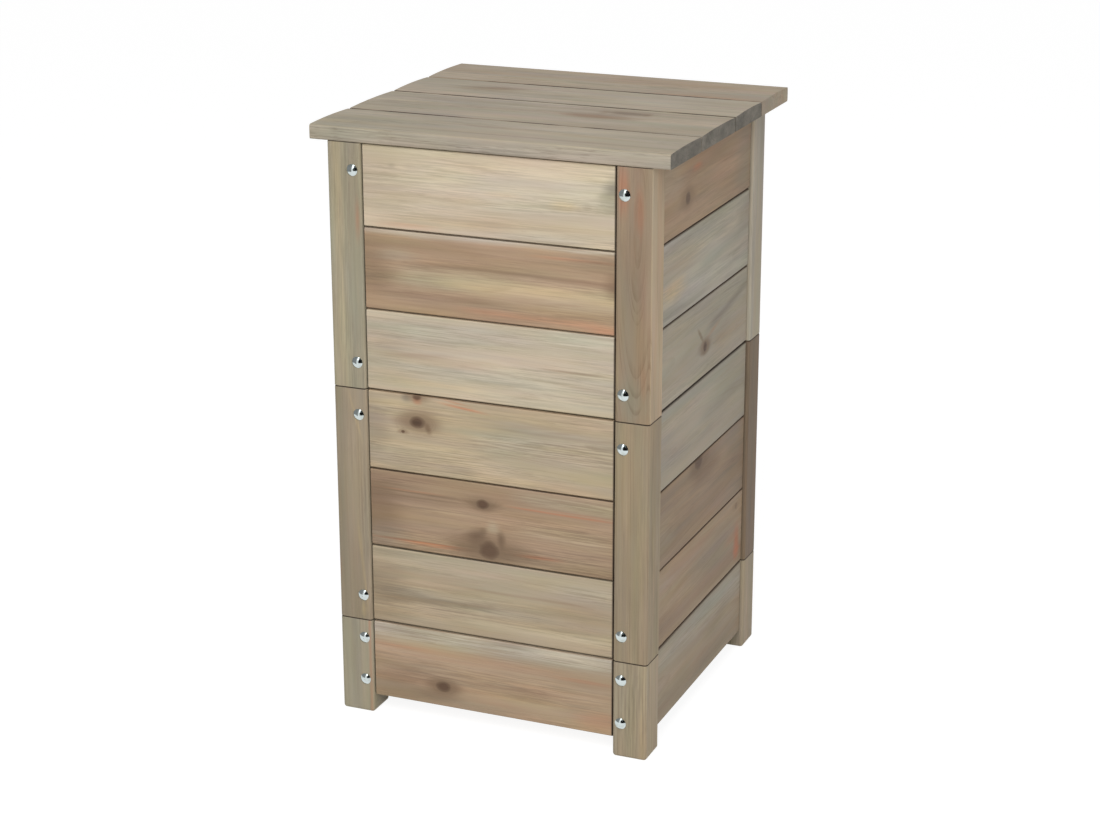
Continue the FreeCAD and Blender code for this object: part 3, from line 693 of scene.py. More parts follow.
class Plank(Brush):
    """A brush that knows where a point lies in a piece of timber, and paints the layers of its stain, with
    painted light and shade on its edges, sides and seams.

    Places are in millimetres from the middle of the piece, along the grain, across it and through it.
    """

    def __init__(self, material, cut, order, middle, half, seed, cell):
        super().__init__(material)
        self.wood = wood = bpy.context.scene.composter_timber
        self.cut = cut
        self.half = half
        local = self.vector("SUBTRACT", self.place(), middle)
        axes = self.split(local)
        self.along, self.across, self.depth = [self.times(axes[axis], 1 / MM) for axis in order]
        normal = self.split(self.place("Normal"))
        self.facing = [normal[axis] for axis in order]
        draw = random.Random(seed)
        shift = [draw.uniform(-LOG_REACH, LOG_REACH) for _ in range(3)]
        self.point = self.vector("ADD", self.join(self.along, self.across, self.depth), shift)
        self.piece_tone = self.tell_apart(local, cell) if cell else None
        sway = self.scaled(self.grain_noise(SWAY), 2 * SWAY_REACH, -SWAY_REACH)
        jitter = self.scaled(self.grain_noise(JITTER), 2 * JITTER_REACH, -JITTER_REACH)
        self.sway = self.plus(sway, jitter)
        self.swayed = self.vector("ADD", self.point, self.join(0.0, self.sway, self.sway))
        fibres = Waves(wood.fibre_length / MM, wood.fibre_width / MM, 3.0, 0.65)
        self.fibre = self.grain_noise(fibres, self.swayed)
        self.crowd = self.grain_noise(CROWD)
        self.wander = self.minus(self.grain_noise(WANDER), 0.5)

    def grain_noise(self, waves, point=None, output=0):
        """A noise that is stretched along the grain."""
        stretch = (waves.along, waves.across, waves.across)
        point = self.point if point is None else point
        return self.noise(point, stretch, waves.detail, waves.roughness, output)

    def tell_apart(self, local, cell):
        """Move the grain of each piece in a group to another part of the log, and return its tone."""
        cells = self.vector("DIVIDE", local, cell)
        snapped = self.add("ShaderNodeVectorMath", {0: cells}, operation="FLOOR")
        drawn = self.add("ShaderNodeTexWhiteNoise", {"Vector": snapped}, output=1)
        self.point = self.vector("ADD", self.point, self.vector("MULTIPLY", drawn, (GROUP_REACH,) * 3))
        return self.split(drawn)[0]

    def stained(self, tone_name):
        """A tone under this piece's shade of stain."""
        return rgba(getattr(self.wood, tone_name), self.cut.shade)

    def plain(self, tone_name):
        """A tone as it is."""
        return rgba(getattr(self.wood, tone_name))

    def distance(self, mark, stretch):
        """The distance to the middle of a mark that is stretched along the grain."""
        run = self.minus(self.along, mark.along)
        rise = self.minus(self.across, mark.across)
        if mark.tilt:
            cosine, sine = math.cos(math.radians(mark.tilt)), math.sin(math.radians(mark.tilt))
            run, rise = (self.scaled(run, cosine, self.times(rise, sine)),
                         self.scaled(rise, cosine, self.times(run, -sine)))
        return self.hypotenuse(self.times(run, 1 / stretch), rise)

    def dashes(self):
        """Short dark pores, thicker in some places than in others."""
        pores = Waves(self.wood.dash_length / MM, self.wood.dash_width / MM, 1.0)
        dark = self.ramp(self.grain_noise(pores, self.swayed), *PORE_STEP)
        return self.times(dark, self.ramp(self.crowd, *PORE_CROWD_STEP))

    def streak_mask(self, mark):
        """Where one soft band along the grain shows, from 0 to its amount."""
        wander = min(mark.half_width * STREAK_WANDER, STREAK_WANDER_LIMIT)
        line = self.scaled(self.along, -mark.slope, self.minus(self.across, mark.across))
        line = self.plus(self.scaled(self.wander, wander, line), self.times(self.sway, STREAK_SWAY))
        mask = self.ramp(self.size(line), 0.0, mark.half_width * STREAK_SOFTNESS, mark.amount, 0.0)
        if mark.span:
            start, end = mark.span
            soft = min(STREAK_FADE, (end - start) / 2)
            mask = self.times(mask, self.ramp(self.along, start, start + soft))
            mask = self.times(mask, self.ramp(self.along, end - soft, end, 1.0, 0.0))
        return self.times(mask, self.ramp(self.fibre, *STREAK_FIBRE_STEP))

    def stain_mask(self, mark):
        """Where one ragged patch shows, from 0 to its amount."""
        half = mark.half_width
        near = self.scaled(self.wander, half * STAIN_RAGGED, self.distance(mark, mark.half_length / half))
        mask = self.ramp(near, half * STAIN_FULL, half * STAIN_FADED, mark.amount, 0.0)
        return self.times(mask, self.ramp(self.fibre, *STAIN_FIBRE_STEP))

    def knot_marks(self):
        """The bend of the rings, the heart, the rim and the brown halo of all knots."""
        ragged = self.noise(self.point, KNOT_RIM_WAVES)
        bends, hearts, rims, halos = [], [], [], []
        for row in self.cut.knots:
            mark = Knot(*row)
            radius, dark = mark.radius, mark.dark
            near = self.minus(self.distance(mark, mark.stretch), radius * KNOT_RAGGED / 2)
            near = self.scaled(ragged, radius * KNOT_RAGGED, near)
            far = self.distance(mark, KNOT_HALO_STRETCH)
            bends.append(self.ramp(far, 0.0, radius * KNOT_BEND_REACH, radius * KNOT_BEND, 0.0))
            hearts.append(self.ramp(near, *[radius * part for part in KNOT_HEART], dark, 0.0))
            rim_gap = self.size(self.minus(near, radius * KNOT_RIM))
            rims.append(self.ramp(rim_gap, 0.0, radius * KNOT_RIM_WIDTH, dark * KNOT_RIM_DARK, 0.0))
            halos.append(self.ramp(far, *[radius * part for part in KNOT_HALO], dark * KNOT_HALO_DARK, 0.0))
        return [self.total(values) for values in (bends, hearts, rims, halos)]

    def growth_rings(self, bend):
        """Dark late wood of the rings, from 0 to 1, round a pith that lies askew to the board."""
        aside, behind = [self.times(self.along, drift) for drift in self.cut.drift]
        rise = self.total([self.across, aside, self.sway, self.cut.pith[0]])
        sink = self.total([self.depth, behind, self.cut.pith[1]])
        radius = self.hypotenuse(rise, sink)
        if bend is not None:
            radius = self.plus(radius, bend)
        inputs = {"W": self.times(radius, RING_CHANGE), "Scale": 1.0, "Detail": 2.0}
        years = self.add("ShaderNodeTexNoise", inputs, noise_dimensions="1D")
        mean_years = self.times(radius, 1 / (self.wood.ring_spacing / MM))
        year = self.calc("FRACT", self.scaled(years, RING_YEARS, mean_years))
        late = self.times(self.ramp(year, *LATE_WOOD_STEP), self.ramp(year, *YEAR_END_STEP))
        return self.times(late, self.ramp(self.grain_noise(RING_BREAKS), *RING_BREAK_STEP))

    def figured(self, late, dashes):
        """The colour of the wood with its figure, streaks, stains, rings and pores."""
        cut = self.cut
        figure = self.ramp(self.grain_noise(FIGURE, self.swayed), *FIGURE_STEP)
        colour = self.mix(figure, self.stained(cut.main), self.stained(cut.second))
        for row in cut.streaks:
            mark = Streak(*row)
            colour = self.mix(self.streak_mask(mark), colour, self.stained(mark.colour))
        for row in cut.stains:
            mark = Stain(*row)
            colour = self.mix(self.stain_mask(mark), colour, self.stained(mark.colour))
        colour = self.mix(self.times(late, cut.rings), colour, LATE_WOOD_TINT, "MULTIPLY")
        return self.mix(self.times(dashes, cut.dashes), colour, PORE_TINT, "MULTIPLY")

    def shaded(self, colour):
        """A colour with a drift of hue, light and dark grain, rounded edges lightened by wear and a painted
        highlight, and painted light and shade on the faces across.
        """
        cut = self.cut
        hue = self.vector("MULTIPLY", self.grain_noise(MOTTLE, output=1), MOTTLE_TINT)
        hue = self.vector("ADD", hue, [1 - change / 2 for change in MOTTLE_TINT])
        colour = self.vector("MULTIPLY", colour, hue)
        lines, fibres = LINE_LIGHT * cut.grain, FIBRE_LIGHT * cut.grain
        light = self.scaled(self.grain_noise(PATCHES), PATCH_LIGHT, LEAST_LIGHT - lines / 2)
        light = self.scaled(self.grain_noise(LINES, self.swayed), lines, light)
        crisp = self.ramp(self.fibre, *FIBRE_STEP, -fibres, fibres)
        crisp = self.times(crisp, self.ramp(self.crowd, *FIBRE_CROWD_STEP))
        colour = self.brighten(colour, self.plus(crisp, light))
        # Painted highlight on the rounded edges, partly worn stain: faces between the flat ones are lightened
        if cut.wear:
            flat = self.calc("MAXIMUM", *[self.size(self.facing[axis]) for axis in (1, 2)])
            worn = self.ramp(flat, *EDGE_HIGHLIGHT_STEP, 1.0 + self.wood.wear * cut.wear, 1.0)
            colour = self.brighten(colour, worn)
        # Painted light and shade: the faces turned across are brightened or darkened per colour
        if cut.sides:
            aside = self.ramp(self.size(self.facing[1]), *SIDE_LIGHT_STEP)
            colour = self.mix(aside, colour, self.vector("MULTIPLY", colour, cut.sides))
        if self.piece_tone is not None:
            colour = self.brighten(colour, self.scaled(self.piece_tone, GROUP_LIGHT, GROUP_LEAST_LIGHT))
        return colour

    def turned(self, axis, limits, tones):
        """Faces turned to the low and the high side of an axis: their tone and how far they are turned."""
        for sign, limit, tone_name in zip((-1.0, 1.0), limits, tones):
            if tone_name:
                yield tone_name, self.ramp(self.times(self.facing[axis], sign), *limit)

    def soaked_ends(self, colour, late, kind):
        """Stain soaked into the end grain, or the gap tone on ends that meet other pieces: dirty joints and
        painted shade inside the gap.
        """
        soak = self.scaled(self.noise(self.point, SOAK_WAVES, 4.0, 0.7), SOAK_CHANGE, SOAK_LEAST)
        # Ends that meet other pieces take the gap tone: dirt and painted shade inside the joint
        ends = [(tone_name, self.times(mask, END_AMOUNT))
                for tone_name, mask in self.turned(0, END_TURN[kind], self.cut.ends)]
        if kind == "post":
            ends.append(("sawn_end", self.ramp(self.size(self.facing[0]), *FLAT_FACE)))
        for tone_name, mask in ends:
            soaked = self.mix(self.times(late, END_RINGS), self.plain(tone_name), self.plain("gap"))
            colour = self.mix(mask, colour, self.brighten(soaked, soak))
        return colour

    def dirty_shaded_seams(self, colour, kind):
        """Dirt and painted shade in the seams and at the high end, and painted shade along the edges."""
        cut, half, gap = self.cut, self.half, self.plain("gap")
        dirt_and_shade = self.ramp(self.grain_noise(DIRT_AND_SHADE_WAVES), *DIRT_AND_SHADE_STEP, DIRT_AND_SHADE_LEAST[kind], DIRT_AND_SHADE_MOST)
        if kind == "board":
            dirt_and_shade = self.times(dirt_and_shade, self.ramp(self.size(self.facing[1]), *FLAT_FACE, 1.0, 0.0))
        # Dirt and painted shade on the rounded edges that meet the next board
        for tone_name, mask in self.turned(1, SEAM_TURN[kind], cut.seams):
            colour = self.mix(self.times(mask, dirt_and_shade), colour, self.plain(tone_name))
        # A dark line at the high end: dirt and painted shade where the board meets the post
        if cut.end_dirt_and_shade:
            corner = self.ramp(self.along, half[0] - cut.end_dirt_and_shade, half[0] - cut.end_dirt_and_shade / 3, 0.0, CORNER_DIRT_AND_SHADE)
            colour = self.mix(corner, colour, gap)
        # Painted shade along the edges, where the groove between two boards lies in shade
        for sign, width in zip((-1.0, 1.0), cut.rims):
            if width:
                edge = self.scaled(self.wander, width * RIM_WANDER, self.times(self.across, sign))
                start, full = half[1] - width * RIM_START, half[1] - width * RIM_FULL
                colour = self.mix(self.ramp(edge, start, full, 0.0, RIM_SHADE), colour, gap)
        return colour

    def saw_marks(self):
        """Waves left by the saw, above and below 0."""
        teeth = self.times(self.along, 2 * math.pi * MM / self.wood.saw_pitch)
        return self.times(self.calc("SINE", self.scaled(self.wander, SAW_WANDER, teeth)), self.cut.rough)


def timber(name, cut, order, middle, half=(0.0, 0.0), kind="board", cell=None):
    """A stained softwood for one piece, or for a group of like pieces told apart by their cell."""
    material = bpy.data.materials.new(name)
    plank = Plank(material, cut, order, middle, half, name, cell)
    wood = plank.wood
    bend = None
    if cut.knots:
        bend, heart, rim, halo = plank.knot_marks()
    late = plank.growth_rings(bend)
    dashes = plank.dashes()
    colour = plank.shaded(plank.figured(late, dashes))
    height = plank.scaled(late, LATE_WOOD_HEIGHT, plank.scaled(dashes, PORE_HEIGHT, plank.fibre))
    if cut.knots:
        grown = plank.mix(late, rgba(wood.knot, KNOT_EARLY_SHADE), rgba(wood.knot, KNOT_LATE_SHADE))
        colour = plank.mix(halo, colour, plank.stained("umber"))
        colour = plank.mix(heart, colour, grown)
        colour = plank.mix(rim, colour, rgba(wood.knot, KNOT_RIM_SHADE))
        height = plank.plus(height, heart)
    colour = plank.dirty_shaded_seams(plank.soaked_ends(colour, late, kind), kind)
    if cut.rough:
        marks = plank.saw_marks()
        height = plank.plus(height, marks)
        colour = plank.brighten(colour, plank.scaled(marks, SAW_SHADE, 1.0))
    plank.wire(colour, "Base Color")
    plank.wire(plank.scaled(plank.fibre, FIBRE_ROUGHNESS, LEAST_ROUGHNESS), "Roughness")
    plank.wire(plank.bump(height, wood.relief, RELIEF_STRENGTH), "Normal")
    plank.set(Specular_IOR_Level=wood.gloss)
    return material


def dress(node, material):
    """Give a node of the frame its material."""
    if node not in NODES:
        raise RuntimeError("the frame has no node named " + node)
    data = NODES[node].data
    data.materials.clear()
    data.materials.append(material)


def stain_all(nodes, looks, kind):
    """Stain single pieces of timber, each with its own look."""
    for node in nodes:
        low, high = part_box(node)
        order = grain_order(node)
        half = [(high - low)[axis] / 2 / MM for axis in order]
        cut = looks.get(node) or unseen_look(node)
        dress(node, timber("stain_" + node, cut, order, (low + high) / 2, half, kind))


class COMPOSTER_OT_stain_wall_boards(Operator):
    """Stain the boards of the base and of both boxes"""
    bl_idname = "composter.stain_wall_boards"
    bl_label = "Stain wall boards"

    def execute(self, context):
        nodes = [node for node in sorted(NODES) if "_board" in node and not node.startswith("lid")]
        stain_all(nodes, {**FRONT_LOOKS, **SIDE_LOOKS}, "board")
        return {"FINISHED"}


class COMPOSTER_OT_stain_posts(Operator):
    """Stain the corner posts and legs"""
    bl_idname = "composter.stain_posts"
    bl_label = "Stain posts and legs"

    def execute(self, context):
        stain_all(filter(is_upright, sorted(NODES)), POST_LOOKS, "post")
        return {"FINISHED"}


class COMPOSTER_OT_stain_lid(Operator):
    """Stain the boards of the lid"""
    bl_idname = "composter.stain_lid"
    bl_label = "Stain lid boards"

    def execute(self, context):
        stain_all(sorted(LID_LOOKS), LID_LOOKS, "lid")
        return {"FINISHED"}


INNER_LOOK = Look("inside", "tan", 0.95, rings=0.4, pith=(30, 60), drift=(0.02, 0.03), rough=0.5, ends=SAWN,
                  seams=FREE, streaks=[("straw", 40, 60, 0.25), ("clay", -60, 50, 0.3)])
# Node ending: grain order and the room of one piece in metres, by which like pieces differ
INNER_PIECES = {
    "_floor_slats": ((1, 0, 2), (0.0475, 4.0, 4.0)),
    "_battens": ((2, 0, 1), (0.022, 0.15, 4.0)),
    "_tray_bearers": ((0, 1, 2), (4.0, 0.2, 4.0)),
    "_floor_bearers": ((0, 1, 2), (4.0, 0.2, 4.0)),
}
ROOM_MARGIN = 2 * MM


class COMPOSTER_OT_finish_inner_timber(Operator):
    """Give the battens, bearers and floor slats a rough-sawn finish"""
    bl_idname = "composter.finish_inner_timber"
    bl_label = "Finish inner timber"

    def execute(self, context):
        for node in sorted(NODES):
            for ending, (order, cell) in INNER_PIECES.items():
                if node.endswith(ending):
                    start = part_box(node)[0] - Vector((ROOM_MARGIN,) * 3)
                    dress(node, timber("sawn_" + node, INNER_LOOK, order, start, cell=cell))
        return {"FINISHED"}


# Dulled patches in the plating: their wave lengths in metres, and where they start and are full
DULL_WAVES, DULL_STEP = (0.006, 0.006, 0.006), (0.40, 0.75)
# Scratches in it: their wave lengths and depth in metres, the strength of their relief, what they add to the
# roughness, and the change and the least of the brightness that they make
SCRATCH_WAVES, SCRATCH_DEPTH, SCRATCH_STRENGTH = (0.0004, 0.004, 0.0012), 0.00002, 0.3
SCRATCH_ROUGHNESS, SCRATCH_LIGHT = 0.05, (0.08, 0.95)


def plated_steel():
    """Zinc plating: bright where it is clean, dulled in soft patches."""
    steel = bpy.context.scene.composter_steel
    material = bpy.data.materials.new("zinc_plating")
    brush = Brush(material)
    place = brush.place()
    wear = brush.ramp(brush.noise(place, DULL_WAVES, 3.0), *DULL_STEP)
    scratches = brush.noise(place, SCRATCH_WAVES, 3.0, 0.7)
    colour = brush.mix(wear, rgba(steel.zinc), rgba(steel.dull))
    brush.wire(brush.brighten(colour, brush.scaled(scratches, *SCRATCH_LIGHT)), "Base Color")
    roughness = brush.scaled(wear, steel.worn - steel.bright, steel.bright)
    brush.wire(brush.scaled(scratches, SCRATCH_ROUGHNESS, roughness), "Roughness")
    brush.wire(brush.bump(scratches, SCRATCH_DEPTH, SCRATCH_STRENGTH), "Normal")
    brush.set(Metallic=1.0)
    return material


def zinc():
    """The one plating that all bolts, nuts and screws share."""
    return bpy.data.materials.get("zinc_plating") or plated_steel()


class COMPOSTER_OT_plate_bolts(Operator):
    """Plate the carriage bolts, washers and nuts with zinc"""
    bl_idname = "composter.plate_bolts"
    bl_label = "Plate bolts and nuts"

    def execute(self, context):
        for section in SECTIONS:
            for kind in ("_bolts", "_nuts"):
                dress(section + kind, zinc())
        return {"FINISHED"}


# The film of dried liquid: its wave lengths in metres, where it starts and is full, how much of it shows on
# the floor of the tray and half way up, and what it adds to the roughness
FILM_WAVES, FILM_STEP = (0.04, 0.04, 0.012), (0.42, 0.72)
FILM_LOW, FILM_HIGH, FILM_ROUGHNESS = 0.9, 0.1, 0.3
# The moulded grain: the strength of its relief, and the change and the least of its brightness and roughness
MOULD_STRENGTH, MOULD_LIGHT, MOULD_ROUGHNESS = 0.7, (0.3, 0.85), (0.15, 0.38)


class COMPOSTER_OT_mould_tray(Operator):
    """Texture the plastic drip tray"""
    bl_idname = "composter.mould_tray"
    bl_label = "Mould drip tray"

    def execute(self, context):
        tray = context.scene.composter_tray
        material = bpy.data.materials.new("moulded_plastic")
        brush = Brush(material)
        place = brush.place()
        grain = brush.noise(place, (tray.grain,) * 3, 2.0)
        film = brush.noise(place, FILM_WAVES, 4.0, 0.65)
        low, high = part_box("drip_tray")
        wet = brush.ramp(brush.split(place)[2], low.z, (low.z + high.z) / 2, FILM_LOW, FILM_HIGH)
        film = brush.times(brush.ramp(film, *FILM_STEP), wet)
        colour = brush.mix(film, rgba(tray.plastic), rgba(tray.bloom))
        brush.wire(brush.brighten(colour, brush.scaled(grain, *MOULD_LIGHT)), "Base Color")
        brush.wire(brush.scaled(film, FILM_ROUGHNESS, brush.scaled(grain, *MOULD_ROUGHNESS)), "Roughness")
        brush.wire(brush.bump(grain, tray.relief, MOULD_STRENGTH), "Normal")
        dress("drip_tray", material)
        return {"FINISHED"}


def finished_mesh(made, name):
    """A mesh from what was drawn."""
    data = bpy.data.meshes.new(name)
    made.to_mesh(data)
    made.free()
    return data


def put(name, data):
    """A new object in the scene."""
    made = bpy.data.objects.new(name, data)
    bpy.context.scene.collection.objects.link(made)
    return made


def screw_mesh(steel):
    """A countersunk wood screw with a cross recess. Its axis is Z and the wood's face is Z = 0."""
    made = bmesh.new()
    rim = steel.screw_head / 2
    soft = steel.screw_round

    def circle(radius, z):
        turn = 2 * math.pi / steel.segments
        return [made.verts.new((radius * math.cos(i * turn), radius * math.sin(i * turn), z))
                for i in range(steel.segments)]

    def cross(scale, z):
        a = steel.cross_width / 2 * scale
        b = steel.cross_length / 2 * scale
        quarter = [(b, -a), (b, a), (a, a)]
        points = []
        for _ in range(4):
            points += quarter
            quarter = [(-y, x) for x, y in quarter]
        return [made.verts.new((x, y, z)) for x, y in points]

    def loop_edges(verts):
        return [made.edges.get(pair) or made.edges.new(pair) for pair in zip(verts, verts[1:] + verts[:1])]

    def skin(upper, lower):
        for i in range(len(upper)):
            j = (i + 1) % len(upper)
            made.faces.new((upper[i], lower[i], lower[j], upper[j]))

    face = circle(rim - soft, steel.screw_proud)
    slot = cross(1.0, steel.screw_proud)
    bmesh.ops.triangle_fill(made, edges=loop_edges(face) + loop_edges(slot), use_beauty=True)
    floor = cross(steel.cross_taper, steel.screw_proud - steel.cross_depth)
    skin(slot, floor)
    made.faces.new(floor)
    rings = [face, circle(rim, steel.screw_proud - soft), circle(steel.screw_shank / 2, -steel.screw_depth),
             circle(steel.screw_shank / 2, -2 * steel.screw_depth)]
    for upper, lower in zip(rings, rings[1:]):
        skin(upper, lower)
    made.faces.new(rings[-1])
    bmesh.ops.recalc_face_normals(made, faces=made.faces)
    return finished_mesh(made, "wood_screw")


SHARP_ANGLE = math.radians(35)
BATTEN_WIDTH = 22 * MM
# Where the screws sit in the height of a wall board or in the width of a lid board
BASE_SCREWS, BOX_SCREWS, LID_SCREWS = (0.36, 0.66), (0.26, 0.74), (0.25, 0.75)


def drive_screws(name, body, places):
    """Put a screw at each place, with its head facing the given way, as one piece on a body."""
    if not places:
        raise RuntimeError("no places for the screws of " + name)
    one = screw_mesh(bpy.context.scene.composter_steel)
    draw = random.Random(name)
    made = bmesh.new()
    for point, out in places:
        before = len(made.verts)
        made.from_mesh(one)
        made.verts.ensure_lookup_table()
        turn = Vector(out).to_track_quat("Z", "Y").to_matrix().to_4x4()
        spin = Matrix.Rotation(draw.uniform(0, math.pi / 2), 4, "Z")
        bmesh.ops.transform(made, matrix=Matrix.Translation(point) @ turn @ spin, verts=made.verts[before:])
    data = finished_mesh(made, name)
    bpy.data.meshes.remove(one)
    data.shade_smooth()
    data.set_sharp_from_angle(angle=SHARP_ANGLE)
    data.materials.append(zinc())
    piece = put(name, data)
    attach(piece, body)


def inner_corners(section):
    """The middle of a section's plan and the half sizes between its posts."""
    name = "leg" if section == "base" else "post"
    low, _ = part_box("%s_%s_back_right" % (section, name))
    _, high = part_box("%s_%s_front_left" % (section, name))
    return (low + high) / 2, (low - high) / 2


class COMPOSTER_OT_screw_walls(Operator):
    """Drive the screws that hold the wall boards to their battens"""
    bl_idname = "composter.screw_walls"
    bl_label = "Screw walls to battens"

    def execute(self, context):
        for section in SECTIONS:
            middle, half = inner_corners(section)
            rows = [node for node in sorted(NODES) if node.startswith(section + "_right_board")]
            shares = BASE_SCREWS if section == "base" else BOX_SCREWS
            heights = [low.z + part * (high.z - low.z) for low, high in map(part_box, rows) for part in shares]
            places = []
            for across in (-1, 1):
                for along in (-1, 1):
                    side_y = middle.y + along * (half.y - BATTEN_WIDTH / 2)
                    places += [((across * half.x, side_y, z), (-across, 0, 0)) for z in heights]
                    if section != "base":
                        panel_x = across * (half.x - BATTEN_WIDTH / 2)
                        panel_y = middle.y + along * half.y
                        places += [((panel_x, panel_y, z), (0, -along, 0)) for z in heights[1:-1]]
            drive_screws(section + "_wall_screws", BODY_OF_SECTION[section], places)
        return {"FINISHED"}


class COMPOSTER_OT_screw_floors(Operator):
    """Drive the screws that hold the floor slats to their bearers"""
    bl_idname = "composter.screw_floors"
    bl_label = "Screw floor slats"
    slats: IntProperty(name="Slats", description="Slats in each floor", default=7, min=2)
    slat_width: length("Slat width", "Width of one slat", 40.0)

    def execute(self, context):
        for section in SECTIONS[1:]:
            low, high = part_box(section + "_floor_slats")
            middle, half = inner_corners(section)
            pitch = (high.x - low.x - self.slat_width) / (self.slats - 1)
            end = (half.y + (high.y - low.y) / 2) / 2
            places = [((low.x + self.slat_width / 2 + i * pitch, middle.y + along * end, high.z), (0, 0, 1))
                      for i in range(self.slats) for along in (-1, 1)]
            drive_screws(section + "_floor_screws", BODY_OF_SECTION[section], places)
        return {"FINISHED"}


class COMPOSTER_OT_screw_lid(Operator):
    """Drive the screws through the lid battens into the lid boards"""
    bl_idname = "composter.screw_lid"
    bl_label = "Screw lid battens"
    batten_width: length("Batten width", "Width of a lid batten", 34.0)

    def execute(self, context):
        low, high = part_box("lid_battens")
        places = []
        for node in sorted(LID_LOOKS):
            board_low, board_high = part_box(node)
            start = max(low.y, board_low.y)
            room = min(high.y, board_high.y) - start
            for across in (-1, 1):
                x = across * (high.x - self.batten_width / 2)
                places += [((x, start + part * room, low.z), (0, 0, -1)) for part in LID_SCREWS]
        drive_screws("lid_screws", "lid", places)
        return {"FINISHED"}


# The floor: half its width in metres, and the grey and the glow that together look white and keep a shadow
FLOOR_REACH = 9.0
FLOOR_SEGMENTS, SCREEN_SEGMENTS = 4, 2
FLOOR_GREY, FLOOR_GLOW = (0.26, 0.26, 0.26, 1.0), 0.89
# Lamps: their size, place and target in metres
KEY_LAMP = ((1.6, 1.8), (0.5, -2.5, 2.6), (0.0, -0.1, 0.4))
FILL_LAMP = ((1.4, 1.8), (1.9, -1.8, 1.3), (0.0, 0.0, 0.35))
# Screens: their glow, their turn from the front to the right in degrees, their width and height, and their
# distance from the front in metres
SCREENS = {
    "dark_screen": (0.0, 38.0, (2.4, 3.5), 1.6),
    "grey_screen": (0.3, -70.0, (3.2, 3.5), 1.6),
    "back_screen": (0.05, 205.0, (1.8, 1.0), 2.0),
}
SCREEN_BLACK = (0.01, 0.01, 0.01, 1.0)
SENSOR_WIDTH = 36.0


def seen_directly(brush):
    """1 for what the camera sees, also in gloss or through glass, and 0 for light that falls on things."""
    paths = brush.add("ShaderNodeLightPath").node
    seen = paths.outputs["Is Camera Ray"]
    for name in ("Is Glossy Ray", "Is Transmission Ray"):
        seen = brush.calc("MAXIMUM", seen, paths.outputs[name])
    return seen


def lamp(name, watts, size, place, target):
    """A large soft lamp that points at a target."""
    data = bpy.data.lights.new(name, "AREA")
    data.shape = "RECTANGLE"
    data.size, data.size_y = size
    data.energy = watts
    made = put(name, data)
    made.location = place
    made.rotation_euler = (Vector(target) - Vector(place)).to_track_quat("-Z", "Y").to_euler()


def sheet(name, segments, half_width, half_height):
    """A flat rectangle with a material of its own, and the brush for that."""
    made = bmesh.new()
    bmesh.ops.create_grid(made, x_segments=segments, y_segments=segments, size=1.0)
    bmesh.ops.scale(made, vec=(half_width, half_height, 1.0), verts=made.verts)
    data = finished_mesh(made, name)
    material = bpy.data.materials.new(name)
    data.materials.append(material)
    return put(name, data), Brush(material)


def studio_floor(colour):
    """A wide pale floor that looks white and keeps a soft shadow."""
    floor, brush = sheet("studio_floor", FLOOR_SEGMENTS, FLOOR_REACH, FLOOR_REACH)
    brush.tree.nodes.remove(brush.shader)
    bounce = brush.add("ShaderNodeBsdfDiffuse", {"Color": rgba(colour)})
    shadow = brush.add("ShaderNodeBsdfDiffuse", {"Color": FLOOR_GREY})
    glow = brush.add("ShaderNodeEmission", {"Color": WHITE, "Strength": FLOOR_GLOW})
    white = brush.add("ShaderNodeAddShader", {0: shadow, 1: glow})
    mixed = brush.add("ShaderNodeMixShader", {0: seen_directly(brush), 1: bounce, 2: white})
    brush.tree.links.new(mixed, brush.tree.nodes["Material Output"].inputs["Surface"])


def studio_sky(strength):
    """Even light all round, in front of a white background."""
    world = bpy.data.worlds.new("studio_sky")
    bpy.context.scene.world = world
    brush = Brush(world)
    light = brush.tree.nodes["Background"]
    light.inputs["Color"].default_value = WHITE
    light.inputs["Strength"].default_value = strength
    white = brush.add("ShaderNodeBackground", {"Color": WHITE, "Strength": 1.0})
    mixed = brush.add("ShaderNodeMixShader", {0: seen_directly(brush), 1: light.outputs[0], 2: white})
    brush.tree.links.new(mixed, brush.tree.nodes["World Output"].inputs["Surface"])


def studio_screen(name, glow, degrees, size, reach):
    """An upright screen on the floor that shows only in gloss, as the room round a studio table does."""
    width, height = size
    made, brush = sheet(name, SCREEN_SEGMENTS, width / 2, height / 2)
    brush.set(Base_Color=SCREEN_BLACK, Specular_IOR_Level=0.0, Emission_Color=WHITE, Emission_Strength=glow)
    turn = math.radians(degrees)
    front = CAD_BOX[0][1]
    made.location = (reach * math.sin(turn), front - reach * math.cos(turn), height / 2)
    made.rotation_euler = (math.pi / 2, 0.0, turn)
    for ray in ("camera", "diffuse", "transmission", "volume_scatter", "shadow"):
        setattr(made, "visible_" + ray, False)


def studio_camera(studio):
    """The camera, to the right of the front and looking slightly down."""
    data = bpy.data.cameras.new("camera")
    data.sensor_width = SENSOR_WIDTH
    data.lens = studio.lens
    made = put("camera", data)
    made.location = studio.eye
    aim = Euler((math.pi / 2 - studio.elevation, 0.0, studio.azimuth)).to_matrix()
    made.rotation_euler = (aim @ Matrix.Rotation(studio.roll, 3, "Z")).to_euler()
    bpy.context.scene.camera = made


class COMPOSTER_OT_set_studio(Operator):
    """Set up the floor, the light and the camera"""
    bl_idname = "composter.set_studio"
    bl_label = "Set up studio"

    def execute(self, context):
        studio = context.scene.composter_studio
        context.scene.view_settings.view_transform = "Standard"
        studio_floor(studio.floor)
        studio_sky(studio.sky)
        lamp("key_lamp", studio.key, *KEY_LAMP)
        lamp("fill_lamp", studio.fill, *FILL_LAMP)
        for name, values in SCREENS.items():
            studio_screen(name, *values)
        studio_camera(studio)
        return {"FINISHED"}


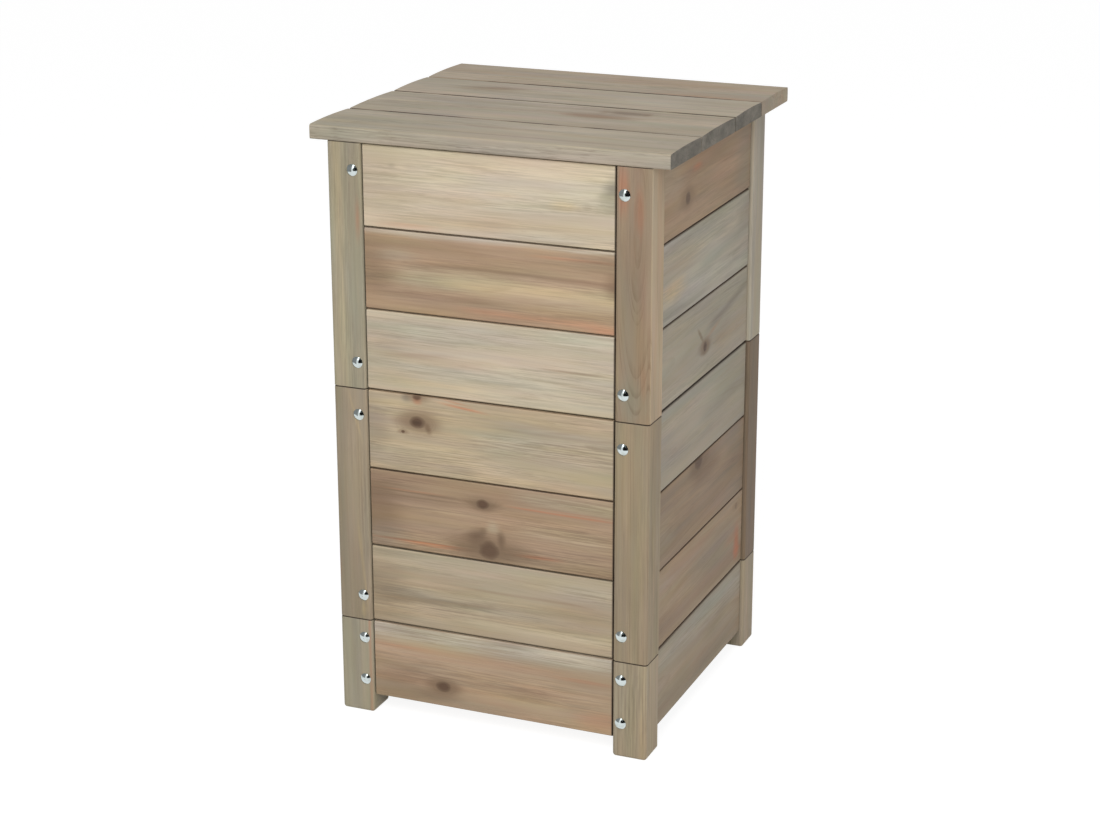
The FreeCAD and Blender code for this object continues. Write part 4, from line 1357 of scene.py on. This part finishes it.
OPERATORS = (
    COMPOSTER_OT_stain_wall_boards,
    COMPOSTER_OT_stain_posts,
    COMPOSTER_OT_stain_lid,
    COMPOSTER_OT_finish_inner_timber,
    COMPOSTER_OT_plate_bolts,
    COMPOSTER_OT_mould_tray,
    COMPOSTER_OT_screw_walls,
    COMPOSTER_OT_screw_floors,
    COMPOSTER_OT_screw_lid,
    COMPOSTER_OT_set_studio,
)
GROUPS = {
    "composter_timber": ComposterTimber,
    "composter_steel": ComposterSteel,
    "composter_tray": ComposterTray,
    "composter_studio": ComposterStudio,
}


class COMPOSTER_PT_sidebar(Panel):
    """Lists the finishes and the steps"""
    bl_idname = "COMPOSTER_PT_sidebar"
    bl_label = "Worm Composter"
    bl_space_type = "VIEW_3D"
    bl_region_type = "UI"
    bl_category = "Composter"

    def draw(self, context):
        for operator in OPERATORS:
            self.layout.operator(operator.bl_idname)
        for name, group in GROUPS.items():
            box = self.layout.box()
            box.label(text=group.__doc__)
            for prop in group.__annotations__:
                box.prop(getattr(context.scene, name), prop)


def register():
    for group in GROUPS.values():
        bpy.utils.register_class(group)
    for name, group in GROUPS.items():
        setattr(bpy.types.Scene, name, PointerProperty(type=group))
    for operator in OPERATORS:
        bpy.utils.register_class(operator)
    bpy.utils.register_class(COMPOSTER_PT_sidebar)


def unregister():
    bpy.utils.unregister_class(COMPOSTER_PT_sidebar)
    for operator in reversed(OPERATORS):
        bpy.utils.unregister_class(operator)
    for name, group in GROUPS.items():
        delattr(bpy.types.Scene, name)
        bpy.utils.unregister_class(group)


def main():
    """Finish the composter and set up the studio."""
    register()
    bpy.ops.composter.stain_wall_boards()
    bpy.ops.composter.stain_posts()
    bpy.ops.composter.stain_lid()
    bpy.ops.composter.finish_inner_timber()
    bpy.ops.composter.plate_bolts()
    bpy.ops.composter.mould_tray()
    bpy.ops.composter.screw_walls()
    bpy.ops.composter.screw_floors()
    bpy.ops.composter.screw_lid()
    bpy.ops.composter.set_studio()
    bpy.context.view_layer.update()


if __name__ == "__main__":
    main()
